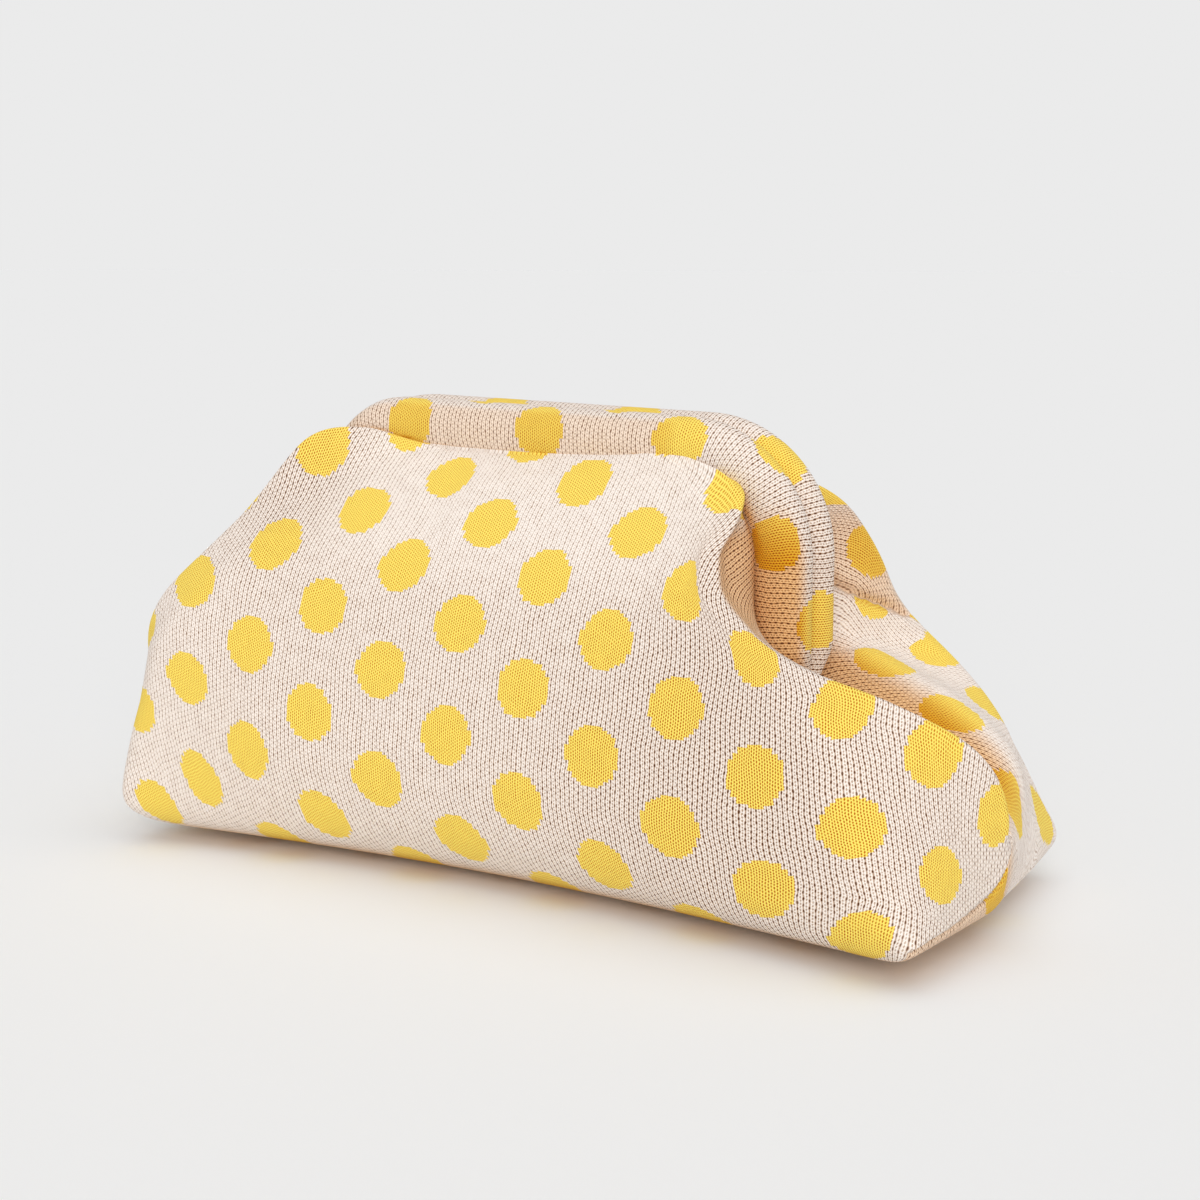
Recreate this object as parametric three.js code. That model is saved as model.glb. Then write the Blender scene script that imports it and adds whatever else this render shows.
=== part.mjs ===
// A soft knitted pouch bag. Two metal bows, hidden in knitted sleeves, hold its mouth shut. The cloth drapes
// from them over four shoulders to a rounded base, and its ends fold in between the shoulders.
// Millimetres, +Z up. The front faces -Y, and the origin lies under the middle of the bag's length.
import * as THREE from 'three';

// Cloth
const CLOTH = 2;
const GAP = 0.3;
const SEAM_Y = GAP / 2;

// The bow's middle line: a bar along the top, two bends and two legs
const LEG_X = 87;
const BOW_SHIFT = -3.5;
const BOW_TOP = 146.6;
const BEND = { right: 35, left: 22 };
const BOW_END = 78.5;
const BOW_Y = 7.9;

// The sleeve round a bow is an oval tube, and the bow fills it
const SLEEVE_END = 84;
const SLEEVE_HALF_HEIGHT = 9.2;
const SLEEVE_HALF_DEPTH = 7.5;
const SLEEVE_WALL = 3;
const HINGE_RADIUS = 2.6;

// The stitch line that joins a wall to its sleeve, measured from the bow's middle line
const STITCH_IN = 7.8;
const STITCH_Y = 13;

// Below the legs the wall's edge passes from the stitch line to the side seam
const SEAM_START = 65;
const STITCH_END = 78;

// The ends' sizes below are measured from the base's middle, and the whole bag's middle lies to its right
const MIDDLE_X = 4.5;

// The bag stands a little taller on the left: heights change by this share for each millimetre across
const LEAN = 1.2e-4;

// Steps of the meshes
const WALL_ROWS = 25;
const WALL_COLUMNS = 38;
const SLEEVE_SIDES = 12;
const BOW_SIDES = 8;
const LEG_STEPS = 3;
const BEND_STEPS = 6;
const BAR_STEPS = 3;

const CREAM = { color: 0xe6d8c8, roughness: 0.95, metalness: 0 };
const STEEL = { color: 0x9a9a98, roughness: 0.4, metalness: 1 };

function table(columns, ...rows) {
  const names = columns.split(' ');
  return rows.map((row) => Object.fromEntries(names.map((name, i) => [name, row[i]])));
}

// Sections of the walls, from the stitch line down. Height and depth are those of the section's middle, and
// depth is measured from the plane between front and back. Each end's seam has its own distance from the
// bag's middle, and the ends of a section may rise above its middle.
const WALL = table('height depth seamRight seamLeft rise',
  [BOW_TOP - STITCH_IN, STITCH_Y, 100, 100, 0],
  [135, 20, 100, 100, 0],
  [127, 30, 100, 100, 0],
  [117, 39, 100, 100, 0],
  [107, 46, 100, 100, 0],
  [96, 51.5, 100, 100, 0],
  [87, 55, 100, 100, 0],
  [78, 58, 98, 98, 0],
  [68, 61, 108, 110, 0],
  [55, 63.5, 138, 138, 0],
  [41, 65, 157, 150, 0],
  [26, 62, 161, 152.5, 0],
  [13, 55, 159, 151, 2]);

// Under the bag the lowest section is drawn in to a share of its reach, and sinks to the flat of the base
const REACH = 63.5;
const BASE = table('kept depth height rise',
  [0.94, 46, 4.5, 4.5],
  [0.81, 35, 0.9, 4],
  [0.5, 26, 0, 0.6],
  [0.3, 17, 0, 0],
  [0, SEAM_Y, 0, 0]);
// there the turns draw apart along the seam and keep some of their softness
const BASE_SPREAD = 6;
const BASE_SOFT = 0.25;

// The shoulders, a row for each section above: where the wall turns the corner, how far the corner stands
// out past the middle, the tip of the fold beyond it, how soft both turns are, and how far the tip rises.
const SHOULDER = 'cornerX bow cornerSoft tipX tipY tipSoft lift';

const TAUT_SHOULDER = table(SHOULDER,
  [40, 0, 3, 56, STITCH_Y, 2, 0],
  [62, 0, 6, 91, 21, 4, 8],
  [76, 0, 8, 101, 29, 5, 5],
  [88, 1, 10, 111, 37, 6, 2],
  [100, 1, 12, 123, 42, 8, 0],
  [112, 1, 14, 135, 46, 9, 0],
  [122, 2, 16, 144, 50, 10, 0],
  [129, 3, 18, 150, 51, 11, 0],
  [135, 4, 20, 153, 50, 12, 0],
  [139, 5, 18, 153, 41, 12, 0],
  [142, 7.5, 16, 153, 24, 10, 0],
  [145, 12, 14, 152.5, 20, 8, 0],
  [146, 20, 10, 151, 18, 6, 0]);

const POCKET_SHOULDER = table(SHOULDER,
  [34, 0, 3, 42, STITCH_Y, 2, 0],
  [58, 0, 6, 68, 18, 3, 0],
  [68, 0, 8, 78, 27, 3, 0],
  [70, 0, 8, 82, 36, 4, 0],
  [71, 0, 9, 86, 43, 5, 0],
  [79, 0, 10, 94, 48, 6, 0],
  [97, 0, 12, 113, 48, 7, 0],
  [114, 0, 16, 137, 41, 8, 0],
  [126, 0, 20, 154, 29, 8, 0],
  [134, 0, 26, 161, 17, 8, 0],
  [141, 0.5, 28, 162, 12, 6, 0],
  [149, 5, 24, 162, 14, 6, 0],
  [157, 15.5, 8, 161, 14, 6, 0]);

const DRAPED_SHOULDER = table(SHOULDER,
  [34, 0, 3, 42, STITCH_Y, 2, 0],
  [58, 0, 6, 74, 19, 3, 2],
  [70, 0, 8, 88, 29, 4, 2],
  [76, 0, 9, 93, 37, 5, 0],
  [82, 0, 10, 97, 42, 6, 0],
  [87, 0, 10, 99, 46, 6, 0],
  [92, 0, 12, 105, 49, 7, 0],
  [100, 0, 14, 117, 49, 8, 0],
  [112, 0, 16, 129, 47, 8, 0],
  [127, 0, 18, 141, 43, 8, 0],
  [137, 1.5, 18, 147, 39, 8, 0],
  [146, 4, 16, 153, 35, 8, 0],
  [153, 11.5, 8, 157, 30, 6, 0]);

// a turn takes up at most this share of the way from corner to tip
const SOFT_LIMIT = 0.45;
// halfway to the corner the wall has this share of its bow and rise, and the corner this share of the lift
const MIDDLE_SHARE = 0.3;
const LIFT_SHARE = 0.45;

function smoothStep(low, high, value) {
  return THREE.MathUtils.smoothstep(value, low, high);
}

// Shares of each control value at place t on a cubic spline that starts on the first and ends on the last
function splineShares(count, t) {
  const start = Math.min(Math.floor(t), count - 2);
  const s = t - start;
  const basis = [(1 - s) ** 3, 3 * s ** 3 - 6 * s ** 2 + 4, -3 * s ** 3 + 3 * s ** 2 + 3 * s + 1, s ** 3];
  const shares = new Array(count).fill(0);
  const give = (i, share) => {
    shares[i] += share;
  };
  basis.forEach((value, k) => {
    const i = start + k - 1;
    const mirrored = i < 0 ? 1 : count - 2;
    if (i >= 0 && i < count) {
      give(i, value / 6);
    } else {
      give(THREE.MathUtils.clamp(i, 0, count - 1), value / 3);
      give(mirrored, -value / 6);
    }
  });
  return shares;
}

function splineRow(rows, t) {
  const shares = splineShares(rows.length, t);
  const sum = (name) => rows.reduce((total, row, i) => total + row[name] * shares[i], 0);
  return Object.fromEntries(Object.keys(rows[0]).map((name) => [name, sum(name)]));
}

function splinePoint(points, t) {
  const shares = splineShares(points.length, t);
  return points.reduce((sum, point, i) => sum.addScaledVector(point, shares[i]), new THREE.Vector3());
}

// All sections of one end of a wall, with those of the base
function endSections(shoulder, seam) {
  const sections = shoulder.map((row, i) => ({ ...WALL[i], ...row, seam: WALL[i][seam] }));
  const foot = sections.at(-1);
  const footCorner = foot.depth + foot.bow;
  const base = BASE.map((row) => {
    const inset = (1 - row.kept) * REACH;
    const spread = BASE_SPREAD * (1 - row.kept);
    const soft = Math.max(row.kept, BASE_SOFT);
    return {
      ...foot,
      height: row.height,
      depth: row.depth,
      rise: row.rise,
      seam: foot.seam - inset,
      cornerX: foot.cornerX - inset - 2 * spread,
      tipX: foot.tipX - inset - spread,
      tipY: Math.max(foot.tipY * row.kept, SEAM_Y),
      bow: Math.max(footCorner * row.kept, SEAM_Y) - row.depth,
      cornerSoft: foot.cornerSoft * soft,
      tipSoft: foot.tipSoft * soft,
    };
  });
  return [...sections, ...base];
}

// Where a section ends: on the stitch line round the bow, or below the legs on the side seam
function sectionEnd(row, end) {
  const height = row.height + row.rise;
  const radius = BEND[end] - STITCH_IN;
  const rise = THREE.MathUtils.clamp(height - (BOW_TOP - BEND[end]), 0, radius);
  const shift = end === 'right' ? BOW_SHIFT : -BOW_SHIFT;
  const stitchX = LEG_X + shift - BEND[end] + Math.sqrt(radius ** 2 - rise ** 2);
  const onStitch = smoothStep(SEAM_START, STITCH_END, height);
  const x = THREE.MathUtils.lerp(row.seam, stitchX, onStitch);
  const y = THREE.MathUtils.lerp(SEAM_Y, STITCH_Y, onStitch);
  return new THREE.Vector3(x, y, height);
}

// Control points of one half of a section, from beside the middle out to the seam
function halfSection(row, end) {
  const middleY = row.depth + MIDDLE_SHARE * row.bow;
  const middle = new THREE.Vector3(row.cornerX / 2, middleY, row.height + MIDDLE_SHARE * row.rise);
  const endZ = row.height + row.rise;
  const corner = new THREE.Vector3(row.cornerX, row.depth + row.bow, endZ + LIFT_SHARE * row.lift);
  const tip = new THREE.Vector3(row.tipX, row.tipY, endZ + row.lift);
  const last = sectionEnd(row, end);
  const reach = SOFT_LIMIT * corner.distanceTo(tip);
  const cornerSoft = Math.min(row.cornerSoft, reach);
  const tipSoft = Math.min(row.tipSoft, reach);
  const towards = (from, to, step) => from.clone().add(to.clone().sub(from).setLength(step));
  return [
    middle,
    towards(corner, middle, row.cornerSoft),
    corner,
    towards(corner, tip, cornerSoft),
    towards(tip, corner, tipSoft),
    tip,
    towards(tip, last, row.tipSoft),
    last,
  ];
}

function lean(point) {
  point.z *= 1 - LEAN * point.x;
  return point;
}

// The outer surface of a wall as rows of points from the left end to the right, side -1 front, 1 back
function wallSurface(side, leftShoulder, rightShoulder) {
  const left = endSections(leftShoulder, 'seamLeft');
  const right = endSections(rightShoulder, 'seamRight');
  const surface = [];
  for (let i = 0; i <= WALL_ROWS; i++) {
    const t = i * (left.length - 1) / WALL_ROWS;
    const leftRow = splineRow(left, t);
    const rightRow = splineRow(right, t);
    const middle = new THREE.Vector3(0, leftRow.depth, leftRow.height);
    const leftPoints = halfSection(leftRow, 'left').reverse();
    leftPoints.forEach((point) => point.setX(-point.x));
    const controls = [...leftPoints, middle, ...halfSection(rightRow, 'right')];
    const points = [];
    for (let j = 0; j <= WALL_COLUMNS; j++) {
      const point = splinePoint(controls, j * (controls.length - 1) / WALL_COLUMNS);
      points.push(lean(point.setY(point.y * side)));
    }
    surface.push(points);
  }
  return surface;
}

// Unit vectors that point out of the bag at each point of a wall's surface
function wallNormals(surface, side) {
  const normals = surface.map((row, i) => row.map((point, j) => {
    const above = surface[Math.max(i - 1, 0)][j];
    const below = surface[Math.min(i + 1, surface.length - 1)][j];
    const before = row[Math.max(j - 1, 0)];
    const after = row[Math.min(j + 1, row.length - 1)];
    const down = below.clone().sub(above);
    const across = after.clone().sub(before);
    const normal = down.cross(across).multiplyScalar(-side);
    if (Math.abs(point.y) < GAP) {
      normal.y = 0;
    }
    return normal.normalize();
  }));
  // where two edges meet, the points beside that corner decide
  for (const i of [0, WALL_ROWS]) {
    for (const j of [0, WALL_COLUMNS]) {
      const alongColumn = normals[Math.abs(i - 1)][j];
      const alongRow = normals[i][Math.abs(j - 1)];
      normals[i][j].copy(alongColumn).add(alongRow).normalize();
    }
  }
  return normals;
}

// A closed solid from points and triangles, turned so that its faces point out
function solid(points, triangles) {
  const volume = triangles.reduce((sum, [a, b, c]) => {
    const cross = points[b].clone().cross(points[c]);
    return sum + points[a].dot(cross);
  }, 0);
  const faces = volume < 0 ? triangles.map(([a, b, c]) => [a, c, b]) : triangles;
  const geometry = new THREE.BufferGeometry();
  geometry.setFromPoints(points);
  geometry.setIndex(faces.flat());
  geometry.computeVertexNormals();
  return geometry;
}

// Two triangles for each cell between two runs of point numbers
function strip(first, second) {
  const triangles = [];
  for (let k = 0; k + 1 < first.length; k++) {
    triangles.push([first[k], second[k], second[k + 1]]);
    triangles.push([first[k], second[k + 1], first[k + 1]]);
  }
  return triangles;
}

// A knitted wall: the surface, a copy of it set in by the cloth's thickness, and the edges between them
function wall(side, leftShoulder, rightShoulder) {
  const outer = wallSurface(side, leftShoulder, rightShoulder);
  const normals = wallNormals(outer, side);
  const inner = outer.map((row, i) => row.map((point, j) => {
    const set = point.clone().addScaledVector(normals[i][j], -CLOTH);
    return set.setY(side * Math.max(side * set.y, SEAM_Y));
  }));
  const width = WALL_COLUMNS + 1;
  const count = (WALL_ROWS + 1) * width;
  const outside = (i) => Array.from({ length: width }, (_, j) => i * width + j);
  const inside = (i) => outside(i).map((k) => k + count).reverse();
  const triangles = [];
  for (let i = 0; i < WALL_ROWS; i++) {
    triangles.push(...strip(outside(i), outside(i + 1)));
    triangles.push(...strip(inside(i), inside(i + 1)));
  }
  const column = (j) => Array.from({ length: WALL_ROWS + 1 }, (_, i) => i * width + j);
  const edge = [
    ...outside(0),
    ...column(WALL_COLUMNS).slice(1),
    ...outside(WALL_ROWS).reverse().slice(1),
    ...column(0).reverse().slice(1),
  ];
  triangles.push(...strip(edge.map((k) => k + count), edge));
  return solid([...outer.flat(), ...inner.flat()], triangles);
}

// The bow's middle line from the right leg's end to the left one's, with the direction away from its inside
function bowLine(end) {
  const half = (name, sign) => {
    const bendX = LEG_X - BEND[name];
    const bendZ = BOW_TOP - BEND[name];
    const places = [];
    const place = (x, z, outX, outZ) => {
      places.push({ x: sign * x + BOW_SHIFT, z, outX: sign * outX, outZ });
    };
    for (let k = 0; k < LEG_STEPS; k++) {
      place(LEG_X, THREE.MathUtils.lerp(end, bendZ, k / LEG_STEPS), 1, 0);
    }
    for (let k = 0; k <= BEND_STEPS; k++) {
      const angle = (k / BEND_STEPS) * Math.PI / 2;
      const outX = Math.cos(angle);
      const outZ = Math.sin(angle);
      place(bendX + BEND[name] * outX, bendZ + BEND[name] * outZ, outX, outZ);
    }
    for (let k = 1; k <= BAR_STEPS; k++) {
      place(bendX * (1 - k / BAR_STEPS), BOW_TOP, 0, 1);
    }
    return places;
  };
  return [...half('right', 1), ...half('left', -1).reverse().slice(1)];
}

// Points of an oval ring round each place of the bow's line
function ovalRings(line, side, halfHeight, halfDepth, sides) {
  return line.flatMap((place) => Array.from({ length: sides }, (_, k) => {
    const angle = k * 2 * Math.PI / sides;
    const out = halfHeight * Math.cos(angle);
    const y = side * (BOW_Y + halfDepth * Math.sin(angle));
    return lean(new THREE.Vector3(place.x + place.outX * out, y, place.z + place.outZ * out));
  }));
}

// Point numbers of ring i, closed on itself
function ring(i, sides, first = 0) {
  return Array.from({ length: sides + 1 }, (_, k) => first + i * sides + (k % sides));
}

function sleeve(side) {
  const line = bowLine(SLEEVE_END);
  const sides = SLEEVE_SIDES;
  const rings = (inset) => {
    return ovalRings(line, side, SLEEVE_HALF_HEIGHT - inset, SLEEVE_HALF_DEPTH - inset, sides);
  };
  const outer = rings(0);
  const inner = rings(SLEEVE_WALL);
  const last = line.length - 1;
  const triangles = [];
  for (let i = 0; i < last; i++) {
    triangles.push(...strip(ring(i, sides), ring(i + 1, sides)));
    triangles.push(...strip(ring(i + 1, sides, outer.length), ring(i, sides, outer.length)));
  }
  triangles.push(...strip(ring(0, sides, outer.length), ring(0, sides)));
  triangles.push(...strip(ring(last, sides), ring(last, sides, outer.length)));
  return solid([...outer, ...inner], triangles);
}

function bow(side) {
  const line = bowLine(BOW_END);
  const sides = BOW_SIDES;
  const inset = SLEEVE_WALL + GAP;
  const points = ovalRings(line, side, SLEEVE_HALF_HEIGHT - inset, SLEEVE_HALF_DEPTH - inset, sides);
  const last = line.length - 1;
  const triangles = [];
  for (let i = 0; i < last; i++) {
    triangles.push(...strip(ring(i, sides), ring(i + 1, sides)));
  }
  for (let k = 1; k + 1 < sides; k++) {
    triangles.push([0, k, k + 1]);
    triangles.push([last * sides, last * sides + k + 1, last * sides + k]);
  }
  return solid(points, triangles);
}

// A short pin between the ends of the two bows, just below the sleeves
function hinge(sign) {
  const bowInside = BOW_Y - (SLEEVE_HALF_DEPTH - SLEEVE_WALL - GAP);
  const length = 2 * (bowInside - GAP);
  const geometry = new THREE.CylinderGeometry(HINGE_RADIUS, HINGE_RADIUS, length, SLEEVE_SIDES);
  const middle = lean(new THREE.Vector3(sign * LEG_X + BOW_SHIFT, 0, (BOW_END + SLEEVE_END) / 2));
  return geometry.translate(middle.x, middle.y, middle.z);
}

const bag = new THREE.Group();
bag.position.x = -MIDDLE_X;

function add(name, geometry, finish) {
  const mesh = new THREE.Mesh(geometry, new THREE.MeshStandardMaterial(finish));
  mesh.name = name;
  bag.add(mesh);
}

add('front_panel', wall(-1, TAUT_SHOULDER, POCKET_SHOULDER), CREAM);
add('back_panel', wall(1, TAUT_SHOULDER, DRAPED_SHOULDER), CREAM);
add('front_casing', sleeve(-1), CREAM);
add('back_casing', sleeve(1), CREAM);
add('front_frame', bow(-1), STEEL);
add('back_frame', bow(1), STEEL);
add('left_hinge', hinge(-1), STEEL);
add('right_hinge', hinge(1), STEEL);

export default bag;
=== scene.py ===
# %% [markdown]
# # A knitted pouch bag
# The bag is a soft clutch in cream knit with yellow dots. Two metal bows, joined by a hinge at each
# end, hold its mouth shut, and the cloth that hangs from them spreads over four shoulders to a
# rounded base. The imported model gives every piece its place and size. This script dresses it: the
# plain solids of the cloth make way for fine sheets of knitting, and the metal inside keeps its shape
# and gets a finish.

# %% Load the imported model
import math

import bpy
import numpy as np
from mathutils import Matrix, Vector
from mathutils.bvhtree import BVHTree


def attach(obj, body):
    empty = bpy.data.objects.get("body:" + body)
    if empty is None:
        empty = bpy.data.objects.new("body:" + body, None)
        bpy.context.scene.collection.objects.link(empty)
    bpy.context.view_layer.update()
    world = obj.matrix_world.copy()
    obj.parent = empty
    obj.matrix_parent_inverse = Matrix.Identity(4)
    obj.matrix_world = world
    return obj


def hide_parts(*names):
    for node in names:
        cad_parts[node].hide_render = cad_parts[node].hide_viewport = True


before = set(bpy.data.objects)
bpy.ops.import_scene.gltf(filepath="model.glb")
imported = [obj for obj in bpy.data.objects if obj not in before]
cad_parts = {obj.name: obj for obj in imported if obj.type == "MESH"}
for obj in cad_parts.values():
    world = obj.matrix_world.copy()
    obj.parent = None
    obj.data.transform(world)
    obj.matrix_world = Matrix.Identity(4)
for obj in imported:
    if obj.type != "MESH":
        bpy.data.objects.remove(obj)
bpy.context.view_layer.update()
MM = 0.001
print("nodes:", ", ".join(sorted(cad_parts)))

# %% [markdown]
# ## The walls as sections
# A knitted wall has no thickness worth modelling from outside, but its form is rich: it leaves the
# stitch line under the bow, swells to the front, turns a soft corner at each end and folds back to
# the side seam. Sculpting that by hand would be hard to repeat. A short table of level sections is
# easier to read and to change: each row gives one level, from the stitch line down, and the sheet
# runs smoothly through all of them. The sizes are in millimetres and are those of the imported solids.

# %% Sizes of the sections
# The middle line of a bow: its legs, its top and the radius of its two bends.
LEG_X = 87
BOW_SHIFT = -3.5
BOW_TOP = 146.6
BOW_Y = 7.9
BEND = {"right": 35, "left": 22}
# The line where the cloth is stitched under the bow, and the heights where it goes over to the side seam.
STITCH_IN = 7.8
STITCH_Y = 13
STITCH_END = 78
SEAM_START = 65
SEAM_Y = 0.15


def columns(names, rows):
    """A table as one array of numbers for each named column."""
    return dict(zip(names.split(), np.array(rows, float).T))


WALL = columns("height depth seam_right seam_left rise", [
    (BOW_TOP - STITCH_IN, STITCH_Y, 100, 100, 0),
    (135, 20, 100, 100, 0),
    (127, 30, 100, 100, 0),
    (117, 39, 100, 100, 0),
    (107, 46, 100, 100, 0),
    (96, 51.5, 100, 100, 0),
    (87, 55, 100, 100, 0),
    (78, 58, 98, 98, 0),
    (68, 61, 108, 110, 0),
    (55, 63.5, 138, 138, 0),
    (41, 65, 157, 150, 0),
    (26, 62, 161, 152.5, 0),
    (13, 55, 159, 151, 2),
])
BASE = columns("kept depth height rise", [
    (0.94, 46, 4.5, 4.5),
    (0.81, 35, 0.9, 4),
    (0.5, 26, 0, 0.6),
    (0.3, 17, 0, 0),
    (0, SEAM_Y, 0, 0),
])

SHOULDER = "corner_x bow corner_soft tip_x tip_y tip_soft lift"
TAUT_SHOULDER = columns(SHOULDER, [
    (40, 0, 3, 56, STITCH_Y, 2, 0),
    (62, 0, 6, 91, 21, 4, 8),
    (76, 0, 8, 101, 29, 5, 5),
    (88, 1, 10, 111, 37, 6, 2),
    (100, 1, 12, 123, 42, 8, 0),
    (112, 1, 14, 135, 46, 9, 0),
    (122, 2, 16, 144, 50, 10, 0),
    (129, 3, 18, 150, 51, 11, 0),
    (135, 4, 20, 153, 50, 12, 0),
    (139, 5, 18, 153, 41, 12, 0),
    (142, 7.5, 16, 153, 24, 10, 0),
    (145, 12, 14, 152.5, 20, 8, 0),
    (146, 20, 10, 151, 18, 6, 0),
])
POCKET_SHOULDER = columns(SHOULDER, [
    (34, 0, 3, 42, STITCH_Y, 2, 0),
    (58, 0, 6, 68, 18, 3, 0),
    (68, 0, 8, 78, 27, 3, 0),
    (70, 0, 8, 82, 36, 4, 0),
    (71, 0, 9, 86, 43, 5, 0),
    (79, 0, 10, 94, 48, 6, 0),
    (97, 0, 12, 113, 48, 7, 0),
    (114, 0, 16, 137, 41, 8, 0),
    (126, 0, 20, 154, 29, 8, 0),
    (134, 0, 26, 161, 17, 8, 0),
    (141, 0.5, 28, 162, 12, 6, 0),
    (149, 5, 24, 162, 14, 6, 0),
    (157, 15.5, 8, 161, 14, 6, 0),
])
DRAPED_SHOULDER = columns(SHOULDER, [
    (34, 0, 3, 42, STITCH_Y, 2, 0),
    (58, 0, 6, 74, 19, 3, 2),
    (70, 0, 8, 88, 29, 4, 2),
    (76, 0, 9, 93, 37, 5, 0),
    (82, 0, 10, 97, 42, 6, 0),
    (87, 0, 10, 99, 46, 6, 0),
    (92, 0, 12, 105, 49, 7, 0),
    (100, 0, 14, 117, 49, 8, 0),
    (112, 0, 16, 129, 47, 8, 0),
    (127, 0, 18, 141, 43, 8, 0),
    (137, 1.5, 18, 147, 39, 8, 0),
    (146, 4, 16, 153, 35, 8, 0),
    (153, 11.5, 8, 157, 30, 6, 0),
])
print("levels of the wall:", len(WALL["height"]), "and of the base:", len(BASE["height"]))

# %% [markdown]
# A spline through the rows keeps the sheet free of kinks. The cubic spline below starts on the first
# value and ends on the last one, and it is written as a matrix of shares, so the same few lines serve
# for the levels, for the points along a level and later for the flat pattern.

# %% Splines
def spline_shares(count, places):
    """The share that each of count values has at each place from 0 to count - 1."""
    places = np.asarray(places, float)
    start = np.minimum(places.astype(int), count - 2)
    s = places - start
    basis = np.stack([(1 - s)**3, 3*s**3 - 6*s**2 + 4, -3*s**3 + 3*s**2 + 3*s + 1, s**3], 1) / 6
    shares = np.zeros((len(places), count + 2))
    for k in range(4):
        shares[np.arange(len(places)), start + k] += basis[:, k]
    held = np.zeros((count + 2, count))
    held[1:-1] = np.eye(count)
    held[0, :2] = 2, -1
    held[-1, -2:] = -1, 2
    return shares @ held


halfway = spline_shares(4, [1.5])[0]
print("shares of four values halfway between the second and the third:", np.round(halfway, 3))

# %% [markdown]
# Under the bag the cloth curls in and meets in the middle. A second set of tables could say how, but
# the base is only the lowest level of the wall again, drawn in step by step. So the levels of the
# base are worked out from that one: each keeps a share of its depth and is set in from its ends.

# %% Levels of one end
BASE_REACH = 63.5
BASE_SPREAD = 6
BASE_SOFT = 0.25
LEVELS = len(WALL["height"]) + len(BASE["height"])


def end_levels(shoulder, seam):
    """All levels of one end of a wall, those of the base included."""
    foot = {name: values[-1] for name, values in shoulder.items()}
    kept = BASE["kept"]
    inset = (1 - kept) * BASE_REACH
    spread = (1 - kept) * BASE_SPREAD
    soft = np.maximum(kept, BASE_SOFT)
    corner = np.maximum((WALL["depth"][-1] + foot["bow"]) * kept, SEAM_Y)
    base = {
        "seam": WALL[seam][-1] - inset,
        "corner_x": foot["corner_x"] - inset - 2 * spread,
        "bow": corner - BASE["depth"],
        "corner_soft": foot["corner_soft"] * soft,
        "tip_x": foot["tip_x"] - inset - spread,
        "tip_y": np.maximum(foot["tip_y"] * kept, SEAM_Y),
        "tip_soft": foot["tip_soft"] * soft,
        "lift": 0 * kept,
    }
    above = {**shoulder, "seam": WALL[seam]}
    levels = {name: np.append(above[name], base[name]) for name in base}
    for name in ("height", "depth", "rise"):
        levels[name] = np.append(WALL[name], BASE[name])
    return levels


print("levels from the stitch line to the middle of the base:", LEVELS)

# %% [markdown]
# Seventeen points steer one level. From the middle they go to a corner, where the front turns to the
# end, on to the tip of the shoulder and back to the stitch line or to the side seam. Corner and tip
# have a point on either side, and the distance of that point says how soft the turn is.

# %% Points that steer a level
STEERING = 17
SOFT_LIMIT = 0.45
MIDDLE_SHARE = 0.3
LIFT_SHARE = 0.45


def smooth_step(none, full, value):
    """0 where value is at none and 1 where it is at full, with a soft passage."""
    t = np.clip((value - none) / (full - none), 0, 1)
    return t * t * (3 - 2 * t)


def towards(start, end, step):
    """Points that lie a step away from start on the way to end."""
    way = end - start
    return start + way * (step / np.linalg.norm(way, axis=-1))[:, None]


def level_end(height, seam, end):
    """Where a level ends: on the stitch line round the bow, or below the legs on the side seam."""
    radius = BEND[end] - STITCH_IN
    rise = np.clip(height - (BOW_TOP - BEND[end]), 0, radius)
    shift = BOW_SHIFT if end == "right" else -BOW_SHIFT
    stitch_x = LEG_X + shift - BEND[end] + np.sqrt(radius**2 - rise**2)
    on_stitch = smooth_step(SEAM_START, STITCH_END, height)
    x = seam + (stitch_x - seam) * on_stitch
    y = SEAM_Y + (STITCH_Y - SEAM_Y) * on_stitch
    return np.stack([x, y, height], -1)


def half_level(row, end):
    """The points that steer one half of each level, from beside the middle out to the seam."""
    end_z = row["height"] + row["rise"]
    middle = np.stack([
        row["corner_x"] / 2,
        row["depth"] + MIDDLE_SHARE * row["bow"],
        row["height"] + MIDDLE_SHARE * row["rise"],
    ], -1)
    corner = np.stack([row["corner_x"], row["depth"] + row["bow"], end_z + LIFT_SHARE * row["lift"]], -1)
    tip = np.stack([row["tip_x"], row["tip_y"], end_z + row["lift"]], -1)
    last = level_end(end_z, row["seam"], end)
    reach = SOFT_LIMIT * np.linalg.norm(tip - corner, axis=1)
    return np.stack([
        middle,
        towards(corner, middle, row["corner_soft"]),
        corner,
        towards(corner, tip, np.minimum(row["corner_soft"], reach)),
        towards(tip, corner, np.minimum(row["tip_soft"], reach)),
        tip,
        towards(tip, last, row["tip_soft"]),
        last,
    ], 1)


print("points that steer a level:", STEERING)

# %% [markdown]
# A wall is both ends together, with the middle between them. The spline runs through its levels first
# and then through the points along each level. At the end the bag leans, because it stands a little
# taller on the left.

# %% Points of a whole wall
LEAN = 1.2e-4


def lean(points):
    """Lets the bag stand a little taller on the left."""
    points[..., 2] *= 1 - LEAN * points[..., 0]
    return points


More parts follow.
